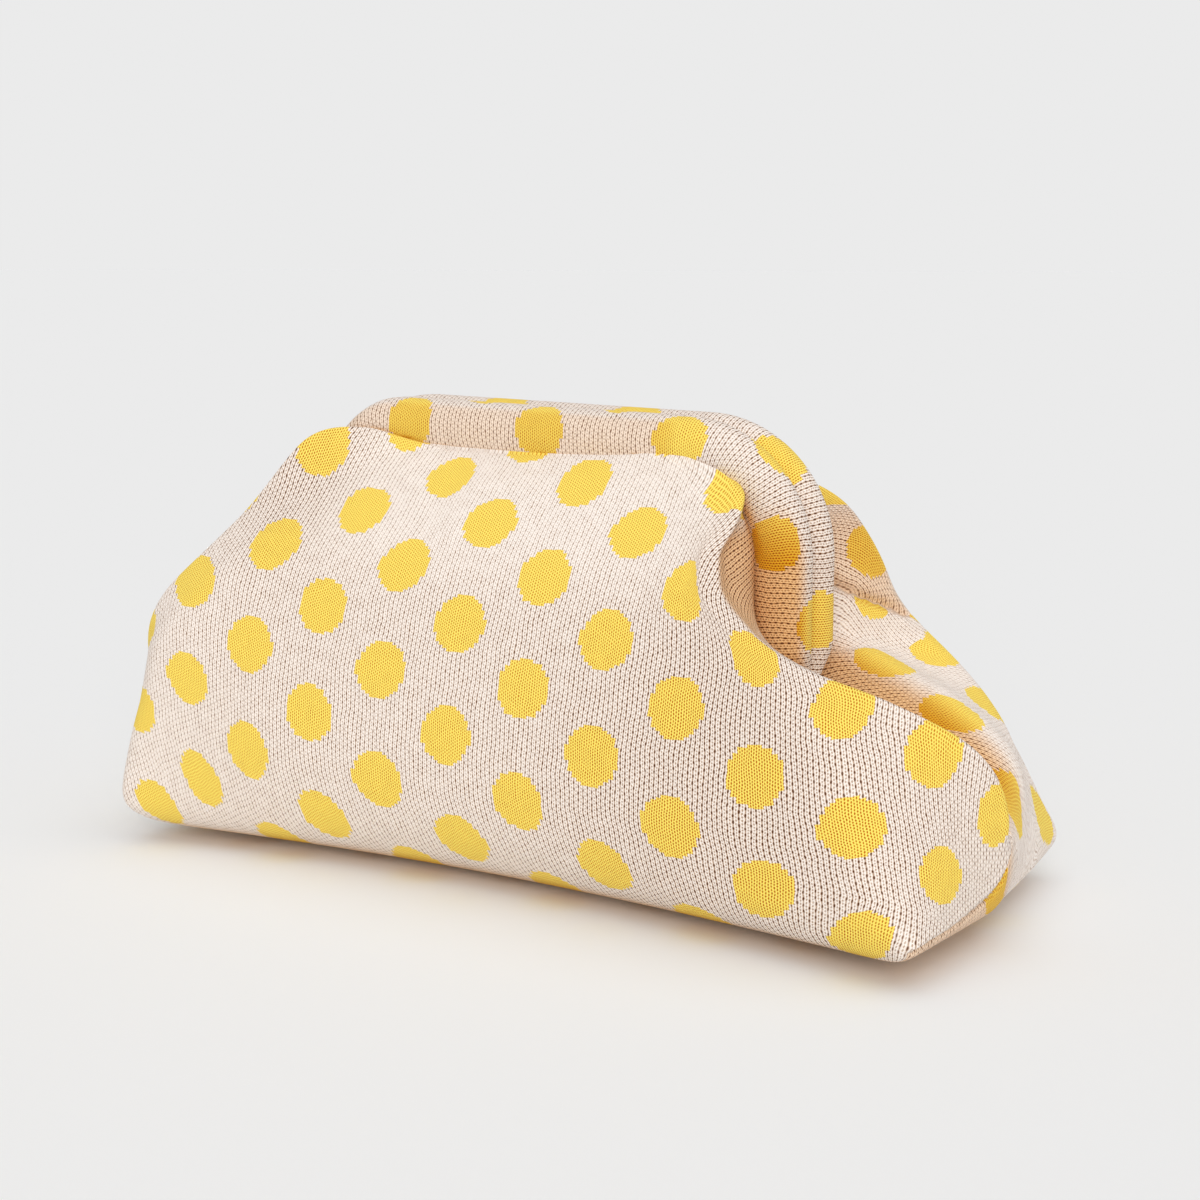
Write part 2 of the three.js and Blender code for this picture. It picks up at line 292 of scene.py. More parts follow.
def wall_points(side, left_shoulder, right_shoulder, down, across):
    """Points of a wall at places down the levels and across them; side is -1 in front, 1 at the back."""
    shares = spline_shares(LEVELS, down)
    halves = {}
    for end, shoulder in (("left", left_shoulder), ("right", right_shoulder)):
        row = {name: shares @ values for name, values in end_levels(shoulder, "seam_" + end).items()}
        halves[end] = half_level(row, end)
    left = halves["left"][:, ::-1] * (-1, 1, 1)
    middle = np.stack([0 * row["depth"], row["depth"], row["height"]], -1)[:, None]
    steering = np.concatenate([left, middle, halves["right"]], 1)
    points = np.einsum("cs,rsk->rck", spline_shares(STEERING, across), steering)
    points[..., 1] *= side
    return lean(points)


MIDDLE = (STEERING - 1) / 2
WALLS = {
    "front": (-1, TAUT_SHOULDER, POCKET_SHOULDER),
    "back": (1, TAUT_SHOULDER, DRAPED_SHOULDER),
}
for name, form in WALLS.items():
    print(name, "wall starts at", np.round(wall_points(*form, [0], [MIDDLE])[0, 0], 1), "mm in the middle")

# %% [markdown]
# Equal steps of the spline would give wide cells in the middle of the bag and narrow ones at its
# corners. The columns of the sheet are therefore spread by the length that they cover on average,
# with a little more of them kept at the corners, where the cloth turns. Near the right end the front
# has a seam in a narrow groove, and a few columns stand close together there.

# %% Places of the rows and columns
ROWS = 188
COLUMNS = 320
TRIAL_COLUMNS = 512
KEPT_AT_CORNERS = 0.3
RIGHT_SEAM = 14.45
SEAM_REACH = 0.3
SEAM_CLEAR = 0.31
SEAM_COLUMNS = 13


def even_places(points, count):
    """Places across the levels that divide their mean length evenly."""
    steps = np.linalg.norm(np.diff(points, axis=1), axis=2).mean(0)
    even = np.full(len(steps), steps.mean())
    length = np.append(0, np.cumsum((1 - KEPT_AT_CORNERS) * steps + KEPT_AT_CORNERS * even))
    places = np.linspace(0, STEERING - 1, len(length))
    return np.interp(np.linspace(0, length[-1], count), length, places)


down_places = np.linspace(0, LEVELS - 1, ROWS)
trial_places = np.linspace(0, STEERING - 1, TRIAL_COLUMNS)
walls = {}
for name, form in WALLS.items():
    across_places = even_places(wall_points(*form, down_places, trial_places), COLUMNS)
    if name == "front":
        at_seam = np.linspace(RIGHT_SEAM - SEAM_REACH, RIGHT_SEAM + SEAM_REACH, SEAM_COLUMNS)
        apart = np.abs(across_places - RIGHT_SEAM) > SEAM_CLEAR
        across_places = np.sort(np.append(across_places[apart], at_seam))
    walls[name] = {"across": across_places, "points": wall_points(*form, down_places, across_places)}
    print(name, "wall:", walls[name]["points"].shape, "points")

# %% [markdown]
# ## The flat pattern
# A knitted sheet is made flat, with its dots in straight rows, and only then sewn into a bag. To
# place the dots and each stitch as they lie on the real bag, the form is laid flat again. Blender's
# own unwrapping could do that roughly. Here it is worked out, because the stitches show every stretch
# of it. A coarse net on the wall is cut into triangles first, and each triangle is laid on a plane of
# its own.

# %% A net of triangles
WALL_FOOT = 13
NET_STEP = 0.5


def net_triangles(rows, across):
    """Corner numbers of a net's triangles, with every cell cut both ways."""
    k = np.arange(rows * across).reshape(rows, across)
    a, b, c, d = (part.ravel() for part in (k[:-1, :-1], k[1:, :-1], k[1:, 1:], k[:-1, 1:]))
    return np.concatenate([np.stack(corners, 1) for corners in ((a, b, c), (a, c, d), (a, b, d), (b, c, d))])


def own_planes(corners):
    """The same triangles, each laid on a plane of its own."""
    along, other = corners[:, 1] - corners[:, 0], corners[:, 2] - corners[:, 0]
    length = np.linalg.norm(along, axis=1)
    x = (along * other).sum(1) / length
    laid = np.zeros((len(corners), 3, 2))
    laid[:, 1, 0] = length
    laid[:, 2] = np.stack([x, np.sqrt(np.maximum((other**2).sum(1) - x**2, 0))], 1)
    return laid


def first_guess(net, middle):
    """Flat places read off along the rows and along the middle column."""
    along = np.linalg.norm(np.diff(net, axis=1), axis=2)
    u = np.concatenate([np.zeros((len(net), 1)), np.cumsum(along, 1)], 1)
    up = np.append(0, np.cumsum(np.linalg.norm(np.diff(net[:, middle], axis=0), axis=1)))
    v = np.broadcast_to((up[-1] - up)[:, None], u.shape)
    return np.stack([u - u[:, middle:middle + 1], v], -1)


net_down = np.arange(0, WALL_FOOT + NET_STEP, NET_STEP)
net_across = np.arange(0, STEERING - 1 + NET_STEP, NET_STEP)
print("triangles in a net:", len(net_triangles(len(net_down), len(net_across))))

# %% [markdown]
# Then the triangles are brought together. Each is turned to fit its neighbours, and the knots of the
# net are moved to the places that suit all their triangles best. After some rounds of this nothing
# moves any more, and the cloth lies flat with as little stretch as the form allows.

# %% Fit the triangles together
ROUNDS = 80
SOFTEST, STIFFEST = 0.05, 5
HOLD = 1e-3


def lay_flat(net):
    """Flat places of the knots of a net, with its middle column upright and its foot at zero."""
    middle = int(MIDDLE / NET_STEP)
    triangles = net_triangles(*net.shape[:2])
    laid = own_planes(net.reshape(-1, 3)[triangles])
    flat = first_guess(net, middle).reshape(-1, 2)
    pulls = np.zeros((len(flat), len(flat)))
    sides = []
    for i, j, apex in ((0, 1, 2), (1, 2, 0), (2, 0, 1)):
        p, q = laid[:, i] - laid[:, apex], laid[:, j] - laid[:, apex]
        twice_area = np.abs(p[:, 0] * q[:, 1] - p[:, 1] * q[:, 0])
        weight = np.clip((p * q).sum(1) / np.maximum(twice_area, 1e-9), SOFTEST, STIFFEST)
        a, b = triangles[:, i], triangles[:, j]
        sides.append((a, b, weight, laid[:, i] - laid[:, j]))
        for row, column, sign in ((a, a, 1), (b, b, 1), (a, b, -1), (b, a, -1)):
            np.add.at(pulls, (row, column), sign * weight)
    pulls[0, 0] += HOLD
    answer = np.linalg.inv(pulls)
    for _ in range(ROUNDS):
        fit = sum(w[:, None, None] * way[:, :, None] * (flat[a] - flat[b])[:, None] for a, b, w, way in sides)
        turn = np.arctan2(fit[:, 0, 1] - fit[:, 1, 0], fit[:, 0, 0] + fit[:, 1, 1])
        cos, sin = np.cos(turn), np.sin(turn)
        wanted = np.zeros_like(flat)
        for a, b, w, way in sides:
            turned = np.stack([cos * way[:, 0] - sin * way[:, 1], sin * way[:, 0] + cos * way[:, 1]], 1)
            np.add.at(wanted, a, turned * w[:, None])
            np.add.at(wanted, b, -turned * w[:, None])
        flat = answer @ wanted
    stretch = [np.abs(np.linalg.norm(flat[a] - flat[b], axis=1) / np.linalg.norm(way, axis=1) - 1).mean()
               for a, b, _, way in sides]
    flat = flat.reshape(net.shape[:2] + (2,))
    upright = flat[0, middle] - flat[-1, middle]
    tilt = math.atan2(upright[0], upright[1])
    straight = np.array([[math.cos(tilt), math.sin(tilt)], [-math.sin(tilt), math.cos(tilt)]])
    return (flat - flat[-1, middle]) @ straight, float(np.mean(stretch))


print("rounds of fitting:", ROUNDS)

# %% [markdown]
# The fine sheet reads its flat places off the net through the same spline. Below the foot of the wall
# the base lies nearly level, so its flat places are simply measured along the ground. The size and
# the area of the pattern are kept, because they say how much cloth the wall was cut from.

# %% Lay the walls flat
def through(shares, values, axis):
    """Steering values for which a spline passes through the given ones along an axis."""
    lined_up = np.moveaxis(values, axis, 0)
    solved = np.linalg.solve(shares, lined_up.reshape(len(shares), -1))
    return np.moveaxis(solved.reshape(lined_up.shape), 0, axis)


def pattern_area(flat):
    """The area of a grid of flat places."""
    across, along = flat[1:, 1:] - flat[:-1, :-1], flat[1:, :-1] - flat[:-1, 1:]
    return float(np.abs(across[..., 0] * along[..., 1] - across[..., 1] * along[..., 0]).sum() / 2)


for name, form in WALLS.items():
    wall = walls[name]
    knots, stretch = lay_flat(wall_points(*form, net_down, net_across))
    for axis, count in ((0, len(net_down)), (1, len(net_across))):
        knots = through(spline_shares(count, np.arange(count)), knots, axis)
    on_wall = np.minimum(down_places, WALL_FOOT) / NET_STEP
    wall["flat"] = np.einsum("rn,cm,nmk->rck", spline_shares(len(net_down), on_wall),
                             spline_shares(len(net_across), wall["across"] / NET_STEP), knots)
    foot = wall_points(*form, [WALL_FOOT], wall["across"])
    below = wall["points"] - foot
    under = (down_places > WALL_FOOT)[:, None]
    wall["flat"][..., 0] += np.where(under, below[..., 0], 0)
    wall["flat"][..., 1] -= np.where(under, np.abs(below[..., 1]), 0)
    wall["cut"] = np.ptp(wall["flat"].reshape(-1, 2), axis=0)
    wall["cut_area"] = pattern_area(wall["flat"])
    print(name, "wall laid flat:", np.round(wall["cut"], 1), "mm, mean stretch", round(stretch, 3))

# %% [markdown]
# The courses of the knitting don't run level to the very ends: the cloth was pulled up where the ends
# are sewn, the lower left corner is drawn out sideways, and behind the right leg the cloth of the
# back is gathered. A soft drift of the flat places gives all this, and the dots follow it as they do
# on the bag.

# %% Drift of the courses
AT_ANY_HEIGHT = (-900, -800)
# A soft pull: millimetres, where across the cloth it starts and is full, and the same up the cloth.
FRONT_ACROSS = {
    "under the bow on the left": (4, -20, -35, 100, 130),
    "under the bow on the right": (-4, 50, 75, 85, 110),
}
FRONT_UP = {
    "right end": (31, 95, 215, *AT_ANY_HEIGHT),
    "low right": (3, 80, 110, 50, 20),
    "left end": (3.6, -75, -165, *AT_ANY_HEIGHT),
    "low left": (20.4, -75, -165, 95, 30),
    "left half": (2.5, -45, -85, 140, 110),
}
BACK_ACROSS = {
    "low right": (9.6, 110, 150, 65, 30),
    "right end": (-7.5, 50, 120, *AT_ANY_HEIGHT),
    "slant on the shoulder": (-23, 60, 95, 86, 121),
    "end of the slant": (23, 105, 165, 86, 121),
}
BACK_UP = {
    "right end": (13.2, 50, 120, *AT_ANY_HEIGHT),
    "left end": (3, -75, -165, *AT_ANY_HEIGHT),
    "low left": (17, -75, -165, 95, 30),
}
# A patch: millimetres, its middle on the cloth, its half width and half height.
FRONT_PATCH_ACROSS = {"low on the seam": (3.1, 164, 41, 16, 16)}
FRONT_PATCH_UP = {"upper right end": (6.5, 195, 70, 19, 19)}
# A spread: millimetres, where across it starts and is full, the level that stays, the height over which it
# grows below that level, and its least share above.
FRONT_SPREAD = {
    "right end": (10, 70, 150, 55, 30, -0.6),
    "left end": (14, -75, -140, 80, 50, -0.35),
}
LOW_SPREAD = 0.13
LOW_FROM, LOW_MOST = 36, 30
LOW_HALF_WIDTH = (120, 80)
GATHER_SHARE = 0.55
GATHER_FROM = 121.5
GATHER_UP = (35, 65)


def soft_pulls(table, u, v):
    """The sum of a table of soft pulls at places on the flat cloth."""
    return sum(amount * smooth_step(u_none, u_full, u) * smooth_step(v_none, v_full, v)
               for amount, u_none, u_full, v_none, v_full in table.values())


def soft_patches(table, u, v):
    """The sum of a table of soft round patches at places on the flat cloth."""
    return sum(amount * np.exp(-((u - middle_u) / wide)**2 - ((v - middle_v) / tall)**2)
               for amount, middle_u, middle_v, wide, tall in table.values())


def front_drift(u, v):
    """How far the front's cloth is shifted across and up from its flat place, in millimetres."""
    across = soft_pulls(FRONT_ACROSS, u, v) + soft_patches(FRONT_PATCH_ACROSS, u, v)
    for amount, u_none, u_full, level, height, least in FRONT_SPREAD.values():
        across += amount * smooth_step(u_none, u_full, u) * np.clip((level - v) / height, least, 1)
    across += LOW_SPREAD * np.clip(LOW_FROM - v, 0, LOW_MOST) * smooth_step(*LOW_HALF_WIDTH, np.abs(u))
    return across, soft_pulls(FRONT_UP, u, v) + soft_patches(FRONT_PATCH_UP, u, v)


def back_drift(u, v):
    """The same for the back, where the right end is gathered."""
    gathered = GATHER_SHARE * np.maximum(u - GATHER_FROM, 0) * smooth_step(*GATHER_UP, v)
    return soft_pulls(BACK_ACROSS, u, v) - gathered, soft_pulls(BACK_UP, u, v)


for name, drift in (("front", front_drift), ("back", back_drift)):
    flat = walls[name]["flat"]
    walls[name]["flat"] = flat - np.stack(drift(flat[..., 0], flat[..., 1]), -1)
    drifted = np.ptp(walls[name]["flat"].reshape(-1, 2), axis=0)
    print(name, "cloth with its drift, in mm:", np.round(drifted, 1))

# %% [markdown]
# ## Pulled edges
# The sections give the main form. The cloth is also pulled about at its edges. Under the bow it
# leaves the stitch line in a straight flare, and at both ends of the bow its corner is drawn up to
# the sleeve. Beside the right leg the edge of the front bulges over the bow's bend and then draws
# back, which opens a pocket. These are plain moves of the points, so the flat pattern stays as it is.
# They fade in and out over places: down the levels from 0 at the stitch line to 17 in the middle of
# the base, and across from 0 at the left edge through 8 in the middle to 16 at the right edge.

# %% Pull the edges
POCKET_BULGE = 3.5
POCKET_OPEN = 6.8
POCKET_NARROWS = 0.55
FLARE = 1.8
FLARE_UP = 0.8
LEFT_UP = 4.5
RIGHT_UP = 4
CORNER_IN = 2.2
CORNER_UP = 3.5


def between(low, rising, falling, high, value):
    """0 outside low and high, 1 between rising and falling, with soft passages."""
    return smooth_step(low, rising, value) * (1 - smooth_step(falling, high, value))


front, back = walls["front"], walls["back"]
down = down_places[:, None]
for side, wall in ((-1, front), (1, back)):
    across = wall["across"]
    along_top = (1 - smooth_step(0, 1, down)) * between(1, 3, 12, 14, across)
    up_left = between(-0.3, 0.6, 1.5, 3.5, down) * (1 - smooth_step(2.2, 5.5, across))
    wall["points"][..., 1] += side * FLARE * along_top
    wall["points"][..., 2] += FLARE_UP * along_top + LEFT_UP * up_left
    up_right = (1 - smooth_step(0.8, 2, down)) * between(7, 11.5, 12.5, 14, across)
    wall["points"][..., 2] += RIGHT_UP * up_right
bulge = POCKET_BULGE * between(0.6, 1.3, 1.4, 2.2, down)
opening = POCKET_OPEN * between(1.9, 3.2, 5.8, 7, down) * (1 - POCKET_NARROWS * smooth_step(3.9, 5, down))
corner = between(-0.2, 0.6, 0.9, 2.8, down) * between(11, 13.6, 15.2, 16, front["across"])
front["points"][..., 1] += CORNER_IN * corner
front["points"][..., 2] += CORNER_UP * corner
front["points"][..., 0] += (bulge - opening) * between(10.4, 12.6, 15, 16, front["across"])
print("pocket opened by", POCKET_OPEN, "mm")

# %% [markdown]
# ## The seam at the right end
# At the left end the two walls are sewn together in the middle. At the right end the cloth of the
# back was pulled round, so the seam sits just behind the crest of the front. The crest stands over it
# as a lip, the cloth dips behind the lip and rises again in a soft roll. Low down the seam leaves the
# crest and runs forward under the corner as a tight groove. All of this is made by pressing the
# points in or out along their normals, by amounts that depend on the distance from the seam.

# %% Press the right seam in
GROOVE_DEPTH = 2.6
GROOVE_BEFORE, GROOVE_PAST = 0.7, 1.4
LIP_HEIGHT = 0.8
LIP_PLACE, LIP_REACH = -2.5, 2
TROUGH_DEPTH = 6
TROUGH_REACH = 5
BACK_TROUGH_REACH = 9
ROLL_HEIGHT = 4.5
ROLL_PLACE, ROLL_REACH = 24, 10
LOW_SEAM_ACROSS = (9.5, 10.67, 12.33, 13.42, 14.3, 15.2, 16)
LOW_SEAM_DOWN = (12.55, 12.46, 12.21, 11.58, 11.1, 10.62, 10.4)
LOW_ROW = 11
LOW_DEPTH, LOW_REACH = 1.8, 1.1
LOW_LIP_HEIGHT = 0.5
LOW_LIP_PLACE, LOW_LIP_REACH = -2.2, 1.6


def grid_normals(points):
    """Unit normals of a grid of points, outwards for a wall."""
    normals = np.cross(np.gradient(points, axis=1), np.gradient(points, axis=0))
    normals *= np.sign((normals * (points - points.mean((0, 1)))).sum())
    return normals / np.maximum(np.linalg.norm(normals, axis=2, keepdims=True), 1e-9)


def hump(distance, middle, reach):
    """A soft rise, 1 at its middle."""
    return np.exp(-((distance - middle) / reach)**2)


def along_rows(points):
    """The length along each row of a grid, from its first point."""
    steps = np.linalg.norm(np.diff(points, axis=1), axis=2)
    return np.append(np.zeros((len(points), 1)), np.cumsum(steps, 1), 1)


lengths = along_rows(front["points"])
seam_column = int(np.argmin(np.abs(front["across"] - RIGHT_SEAM)))
past_seam = lengths - lengths[:, seam_column:seam_column + 1]
groove = GROOVE_DEPTH * hump(past_seam, 0, np.where(past_seam < 0, GROOVE_BEFORE, GROOVE_PAST))
grooved, dipped = between(6, 7, 9.9, 10.7, down), between(6.3, 7.4, 9.3, 11, down)
front_moves = grooved * (LIP_HEIGHT * hump(past_seam, LIP_PLACE, LIP_REACH) - groove)
front_moves -= dipped * TROUGH_DEPTH * smooth_step(0, TROUGH_REACH, past_seam)
below_seam = (down - np.interp(front["across"], LOW_SEAM_ACROSS, LOW_SEAM_DOWN)) * LOW_ROW
low_lip = LOW_LIP_HEIGHT * hump(below_seam, LOW_LIP_PLACE, LOW_LIP_REACH)
low_groove = low_lip - LOW_DEPTH * hump(below_seam, 0, LOW_REACH)
front_moves += low_groove * smooth_step(10.6, 11.6, front["across"])

from_edge = along_rows(back["points"])[:, -1:] - along_rows(back["points"])
roll = ROLL_HEIGHT * hump(from_edge, ROLL_PLACE, ROLL_REACH)
back_moves = dipped * (roll - TROUGH_DEPTH * hump(from_edge, 0, BACK_TROUGH_REACH))
print("deepest press in mm:", round(float(front_moves.min()), 1), "and", round(float(back_moves.min()), 1))

# %% [markdown]
# Behind the right leg the shoulder of the back hangs over the slope below it, and a sharp crease runs
# between them, outwards and down from the leg. It is pressed in the same way, along a curve across
# the levels, with the cloth above it pushed out a little. Where the two walls meet at the right edge
# they share one normal, so that they stay together.

# %% Press the crease behind the leg and move the points
CREASE_START = 15.54
CREASE_STEP, CREASE_STEPS = 1.04, 2
CREASE_TOP = 4.5
CREASE_FALL, CREASE_CURVE = 1.29, 0.6
CREASE_DEPTH, CREASE_REACH = 2.6, 0.16
CREASE_ROLL = 2.0
CREASE_ROLL_PLACE, CREASE_ROLL_REACH = -0.5, 0.4
MEET_REACH = 6

along_crease = np.clip((CREASE_START - back["across"]) / CREASE_STEP, 0, CREASE_STEPS)
from_crease = down - (CREASE_TOP + CREASE_FALL * along_crease**CREASE_CURVE)
creased = between(14.1, 14.6, 15.7, 15.95, back["across"])
crease_roll = CREASE_ROLL * hump(from_crease, CREASE_ROLL_PLACE, CREASE_ROLL_REACH)
back_moves += creased * (crease_roll - CREASE_DEPTH * hump(from_crease, 0, CREASE_REACH))

front_normals, back_normals = grid_normals(front["points"]), grid_normals(back["points"])
shared = front_normals[:, -1:] + back_normals[:, -1:]
shared /= np.linalg.norm(shared, axis=2, keepdims=True)
for wall, normals, moves in ((front, front_normals, front_moves), (back, back_normals, back_moves)):
    lengths = along_rows(wall["points"])
    near_edge = 1 - smooth_step(0, MEET_REACH, lengths[:, -1:] - lengths)[..., None]
    ways = normals * (1 - near_edge) + shared * near_edge
    wall["points"] = wall["points"] + ways * moves[..., None]
print("front moved by", round(float(np.abs(front_moves).max()), 1), "mm at most, back by",
      round(float(np.abs(back_moves).max()), 1), "mm")

# %% [markdown]
# ## Cloth across the seams
# A dot is cut where it meets a seam or goes into a crease, and the cloth on the other side starts at
# another place of the pattern. So the flat places jump there: across the right seam, across the seam
# under the corner and across the crease behind the leg. Away from them the jump fades out over some
# centimetres, or the stitches would be torn.

# %% Shift the cloth across the seams
SEAM_FROM = 70
CREASE_SHIFT = 9
UNDER_SHIFT = (20, 1.6)
BEHIND_SHIFT = (-12, 6.5)
CORNER_ACROSS = 11

across = back["across"]
above_crease = (from_crease < 0) * between(1.5, 3, 16, 17, down) * smooth_step(12.2, 14.4, across)
below_crease = (from_crease >= 0) * smooth_step(1.9, 0.2, from_crease) * smooth_step(14.1, 14.7, across)
at_end = between(8.2, 10.4, 16, 17, down) * smooth_step(13.8, 15.9, across)
back["flat"][..., 0] += CREASE_SHIFT * above_crease + BEHIND_SHIFT[0] * at_end
back["flat"][..., 1] += CREASE_SHIFT * below_crease + BEHIND_SHIFT[1] * at_end

to_edge = along_rows(front["points"])[:, -1:] - along_rows(front["points"])
from_back = back["flat"][:, -1:] + np.stack([to_edge, 0 * to_edge], -1)
behind = (front["across"] > RIGHT_SEAM) & (front["points"][..., 2] < SEAM_FROM) & (below_seam < 0)
front["flat"] = np.where(behind[..., None], from_back, front["flat"])
under_corner = (below_seam >= 0) & (front["across"] > CORNER_ACROSS) & (down < WALL_FOOT + 2)
front["flat"] = np.where(under_corner[..., None], front["flat"] + UNDER_SHIFT, front["flat"])
print("cloth of the back on", int(behind.sum()), "points of the front")

# %% [markdown]
# Two more numbers go with each point of a wall. The first is a painted shade: how much of a warm,
# darker tone its fold gets in its colour. The pocket, the trough behind the seam and the cloth under
# the corner and the back's shoulder get painted shade and are browner than the rest. With a minus it
# keeps painted shade away, as just under the bow and on the slope behind the leg. The second number
# marks the narrow strips beside the seams and in the pocket that show no dots.

# %% Paint shade into the folds and leave out dots
# Painted shade for each of these places; under the bow and with SLOPE_LIGHT it is taken away.
POCKET_SHADE = 0.85
TROUGH_SHADE = 0.9
BACK_TROUGH_SHADE = 0.95
BACK_TROUGH_FADE = (24, 12)
CORNER_SHADE = 0.5
SHOULDER_SHADE = 0.5
SLOPE_LIGHT = 0.6


def widest(*masks):
    """The largest of some masks at each point."""
    return np.max(np.broadcast_arrays(*masks), axis=0)


across = front["across"]
under_bow = smooth_step(2.2, 0.8, down)
in_pocket = between(2, 2.8, 5, 6.2, down) * smooth_step(13.9, 14.7, across)
in_trough = dipped * smooth_step(0, 4, past_seam)
near_corner = under_corner * smooth_step(15.8, 14.6, across)
front["shade"] = POCKET_SHADE * in_pocket - under_bow * (1 - in_pocket)
front["shade"] += TROUGH_SHADE * in_trough + CORNER_SHADE * near_corner
front["plain"] = widest(
    (across > 13.2) * between(2, 2.4, 4.3, 4.5, down),
    (across > 14.1) * between(2, 2.4, 5.4, 5.8, down),
    (across > RIGHT_SEAM) * between(10.8, 10.9, 12, 12.1, down),
    (across < 12.8) * under_corner)

across = back["across"]
on_shoulder = (from_crease < 0) * between(1.6, 3, 16, 17, down) * smooth_step(13.6, 14.6, across)
on_slope = between(5.8, 6.6, 9, 10, down) * between(13.5, 14.2, 14.9, 15.5, across)
back["shade"] = SHOULDER_SHADE * on_shoulder - under_bow - SLOPE_LIGHT * on_slope
back["shade"] += BACK_TROUGH_SHADE * dipped * smooth_step(*BACK_TROUGH_FADE, from_edge)
back["plain"] = widest(
    (across > 14.3) * between(10.8, 10.9, 12.5, 12.6, down),
    between(14.2, 14.3, 15.3, 15.4, across) * between(9.3, 9.4, 12.5, 12.6, down))
for name, wall in walls.items():
    wall["flat"] = np.concatenate([wall["flat"], wall["shade"][..., None], wall["plain"][..., None]], -1)
    print(name, "wall:", int((wall["plain"] > 0.5).sum()), "points show no dots")

# %% [markdown]
# ## Sheets from grids of points
# All the cloth is made from grids of points, so one helper turns a grid into a mesh. It stores the
# flat place of each point as a UV map, in metres of cloth, and the numbers that go with the point:
# how far the stitches are stretched open, how much painted shade its fold gets and whether it shows
# no dots.

# %% From a grid to a mesh
MIDDLE_X = 4.5


def grid_piece(name, points, flat, opened):
    """A smooth sheet from rows of points in mm; flat holds u, v, the painted shade and the mark for no dots.
    """
    rows, across = points.shape[:2]
    number = np.arange(rows * across).reshape(rows, across)
    faces = np.stack([number[:-1, :-1], number[1:, :-1], number[1:, 1:], number[:-1, 1:]], -1).reshape(-1, 4)
    place = (points - (MIDDLE_X, 0, 0)) * MM
    mesh = bpy.data.meshes.new(name)
    mesh.from_pydata(place.reshape(-1, 3).tolist(), [], faces.tolist())
    corners = np.zeros(len(mesh.loops), int)
    mesh.loops.foreach_get("vertex_index", corners)
    layer = mesh.uv_layers.new(name="flat_cloth")
    layer.data.foreach_set("uv", (flat[..., :2] * MM).reshape(-1, 2)[corners].astype(np.float32).ravel())
    numbers = {"stretched_open": opened, "fold_shade": flat[..., 2], "no_dots": flat[..., 3]}
    for meaning, values in numbers.items():
        stored = mesh.attributes.new(meaning, "FLOAT", "POINT")
        stored.data.foreach_set("value", values.astype(np.float32).ravel())
    mesh.shade_smooth()
    piece = bpy.data.objects.new(name, mesh)
    piece["rows"], piece["across"] = rows, across
    bpy.context.collection.objects.link(piece)
    print(name, "has", 2 * len(faces), "triangles")
    return piece


# %% [markdown]
# ## The two walls
# At the stitch line and at the side seams the real cloth turns in and is sewn on the inside. A few
# extra rows and columns turn in there too, so that no gap shows between the pieces, and the seam
# reads as a soft groove. At the right end no seam shows in the middle, so the walls meet there, and
# the edge is marked sharp to keep the cloth that turns in from bending the light at the join.

# %% Turn the edges in
SEAM_TURNS = (0.6, 1.6, 3.2)
STITCH_TURNS = (0.8, 2.0, 3.5)


def turn_in(points, flat, axis, end, ways, steps):
    """Adds lines of points beside one edge of a grid, each a step further along ways."""
    edge = np.take(points, [0 if end == 0 else -1], axis)
    flat_edge = np.take(flat, [0 if end == 0 else -1], axis)
    for step in steps:
        new = edge + ways * step
        points = np.concatenate([new, points] if end == 0 else [points, new], axis)
        flat = np.concatenate([flat_edge, flat] if end == 0 else [flat, flat_edge], axis)
    return points, flat


def stitch_ways(edge, side):
    """Directions from the stitch line towards the middle of the bow's sleeve."""
    x = edge[..., 0] - BOW_SHIFT
    end = np.where(x > 0, BEND["right"], BEND["left"])
    bend_x = np.sign(x) * np.clip(np.abs(x) - (LEG_X - end), 0, None)
    bend_z = np.clip(edge[..., 2] - (BOW_TOP - end), 0, None)
    out = np.stack([bend_x, 0 * x, bend_z], -1)
    out /= np.linalg.norm(out, axis=-1, keepdims=True)
    ways = out * STITCH_IN + (0, -side * (STITCH_Y - BOW_Y), 0)
    return ways / np.linalg.norm(ways, axis=-1, keepdims=True)


print("cloth turned in by", SEAM_TURNS[-1], "mm at the seams,", STITCH_TURNS[-1], "mm at the stitch line")

# %% [markdown]
# Knitting opens where it is pulled. On this bag the stitches stand open low on the right, along the
# pocket and on the shoulders, and they are closed high on the front and far to the left. A number
# from 0 to 1 says how far, and the knit's material reads it: open slots are wider and their painted
# shade is darker. On the back they also open where a fold has painted shade.

# %% How far the stitches are open
# A patch: its amount, its middle on the cloth, its half width and half height.
FRONT_OPEN = 0.55
UPPER_CLOSED = 0.4
FAR_LEFT_CLOSED = 0.2
FRONT_OPEN_PATCHES = {
    "low right": (0.45, 95, 45, 65, 60),
    "edge of the pocket": (0.45, 92, 128, 22, 45),
    "left shoulder": (0.4, -95, 140, 30, 30),
}
BACK_OPEN = 0.2
BACK_OPEN_PATCHES = {"shoulder": (0.7, 100, 130, 35, 40)}
OPEN_WITH_PAINTED_SHADE = 0.7


def front_stretch(flat):
    u, v = flat[..., 0], flat[..., 1]
    upper = smooth_step(90, 125, v) * smooth_step(95, 60, np.abs(u))
    closed = UPPER_CLOSED * upper + FAR_LEFT_CLOSED * smooth_step(85, 150, -u)
    return np.clip(FRONT_OPEN - closed + soft_patches(FRONT_OPEN_PATCHES, u, v), 0, 1)


def back_stretch(flat):
    # Slots open wider and darker where a fold has painted shade, which deepens that painted shade.
    with_painted_shade = OPEN_WITH_PAINTED_SHADE * np.clip(flat[..., 2], 0, 1)
    return np.clip(BACK_OPEN + with_painted_shade + soft_patches(BACK_OPEN_PATCHES, flat[..., 0], flat[..., 1]), 0, 1)


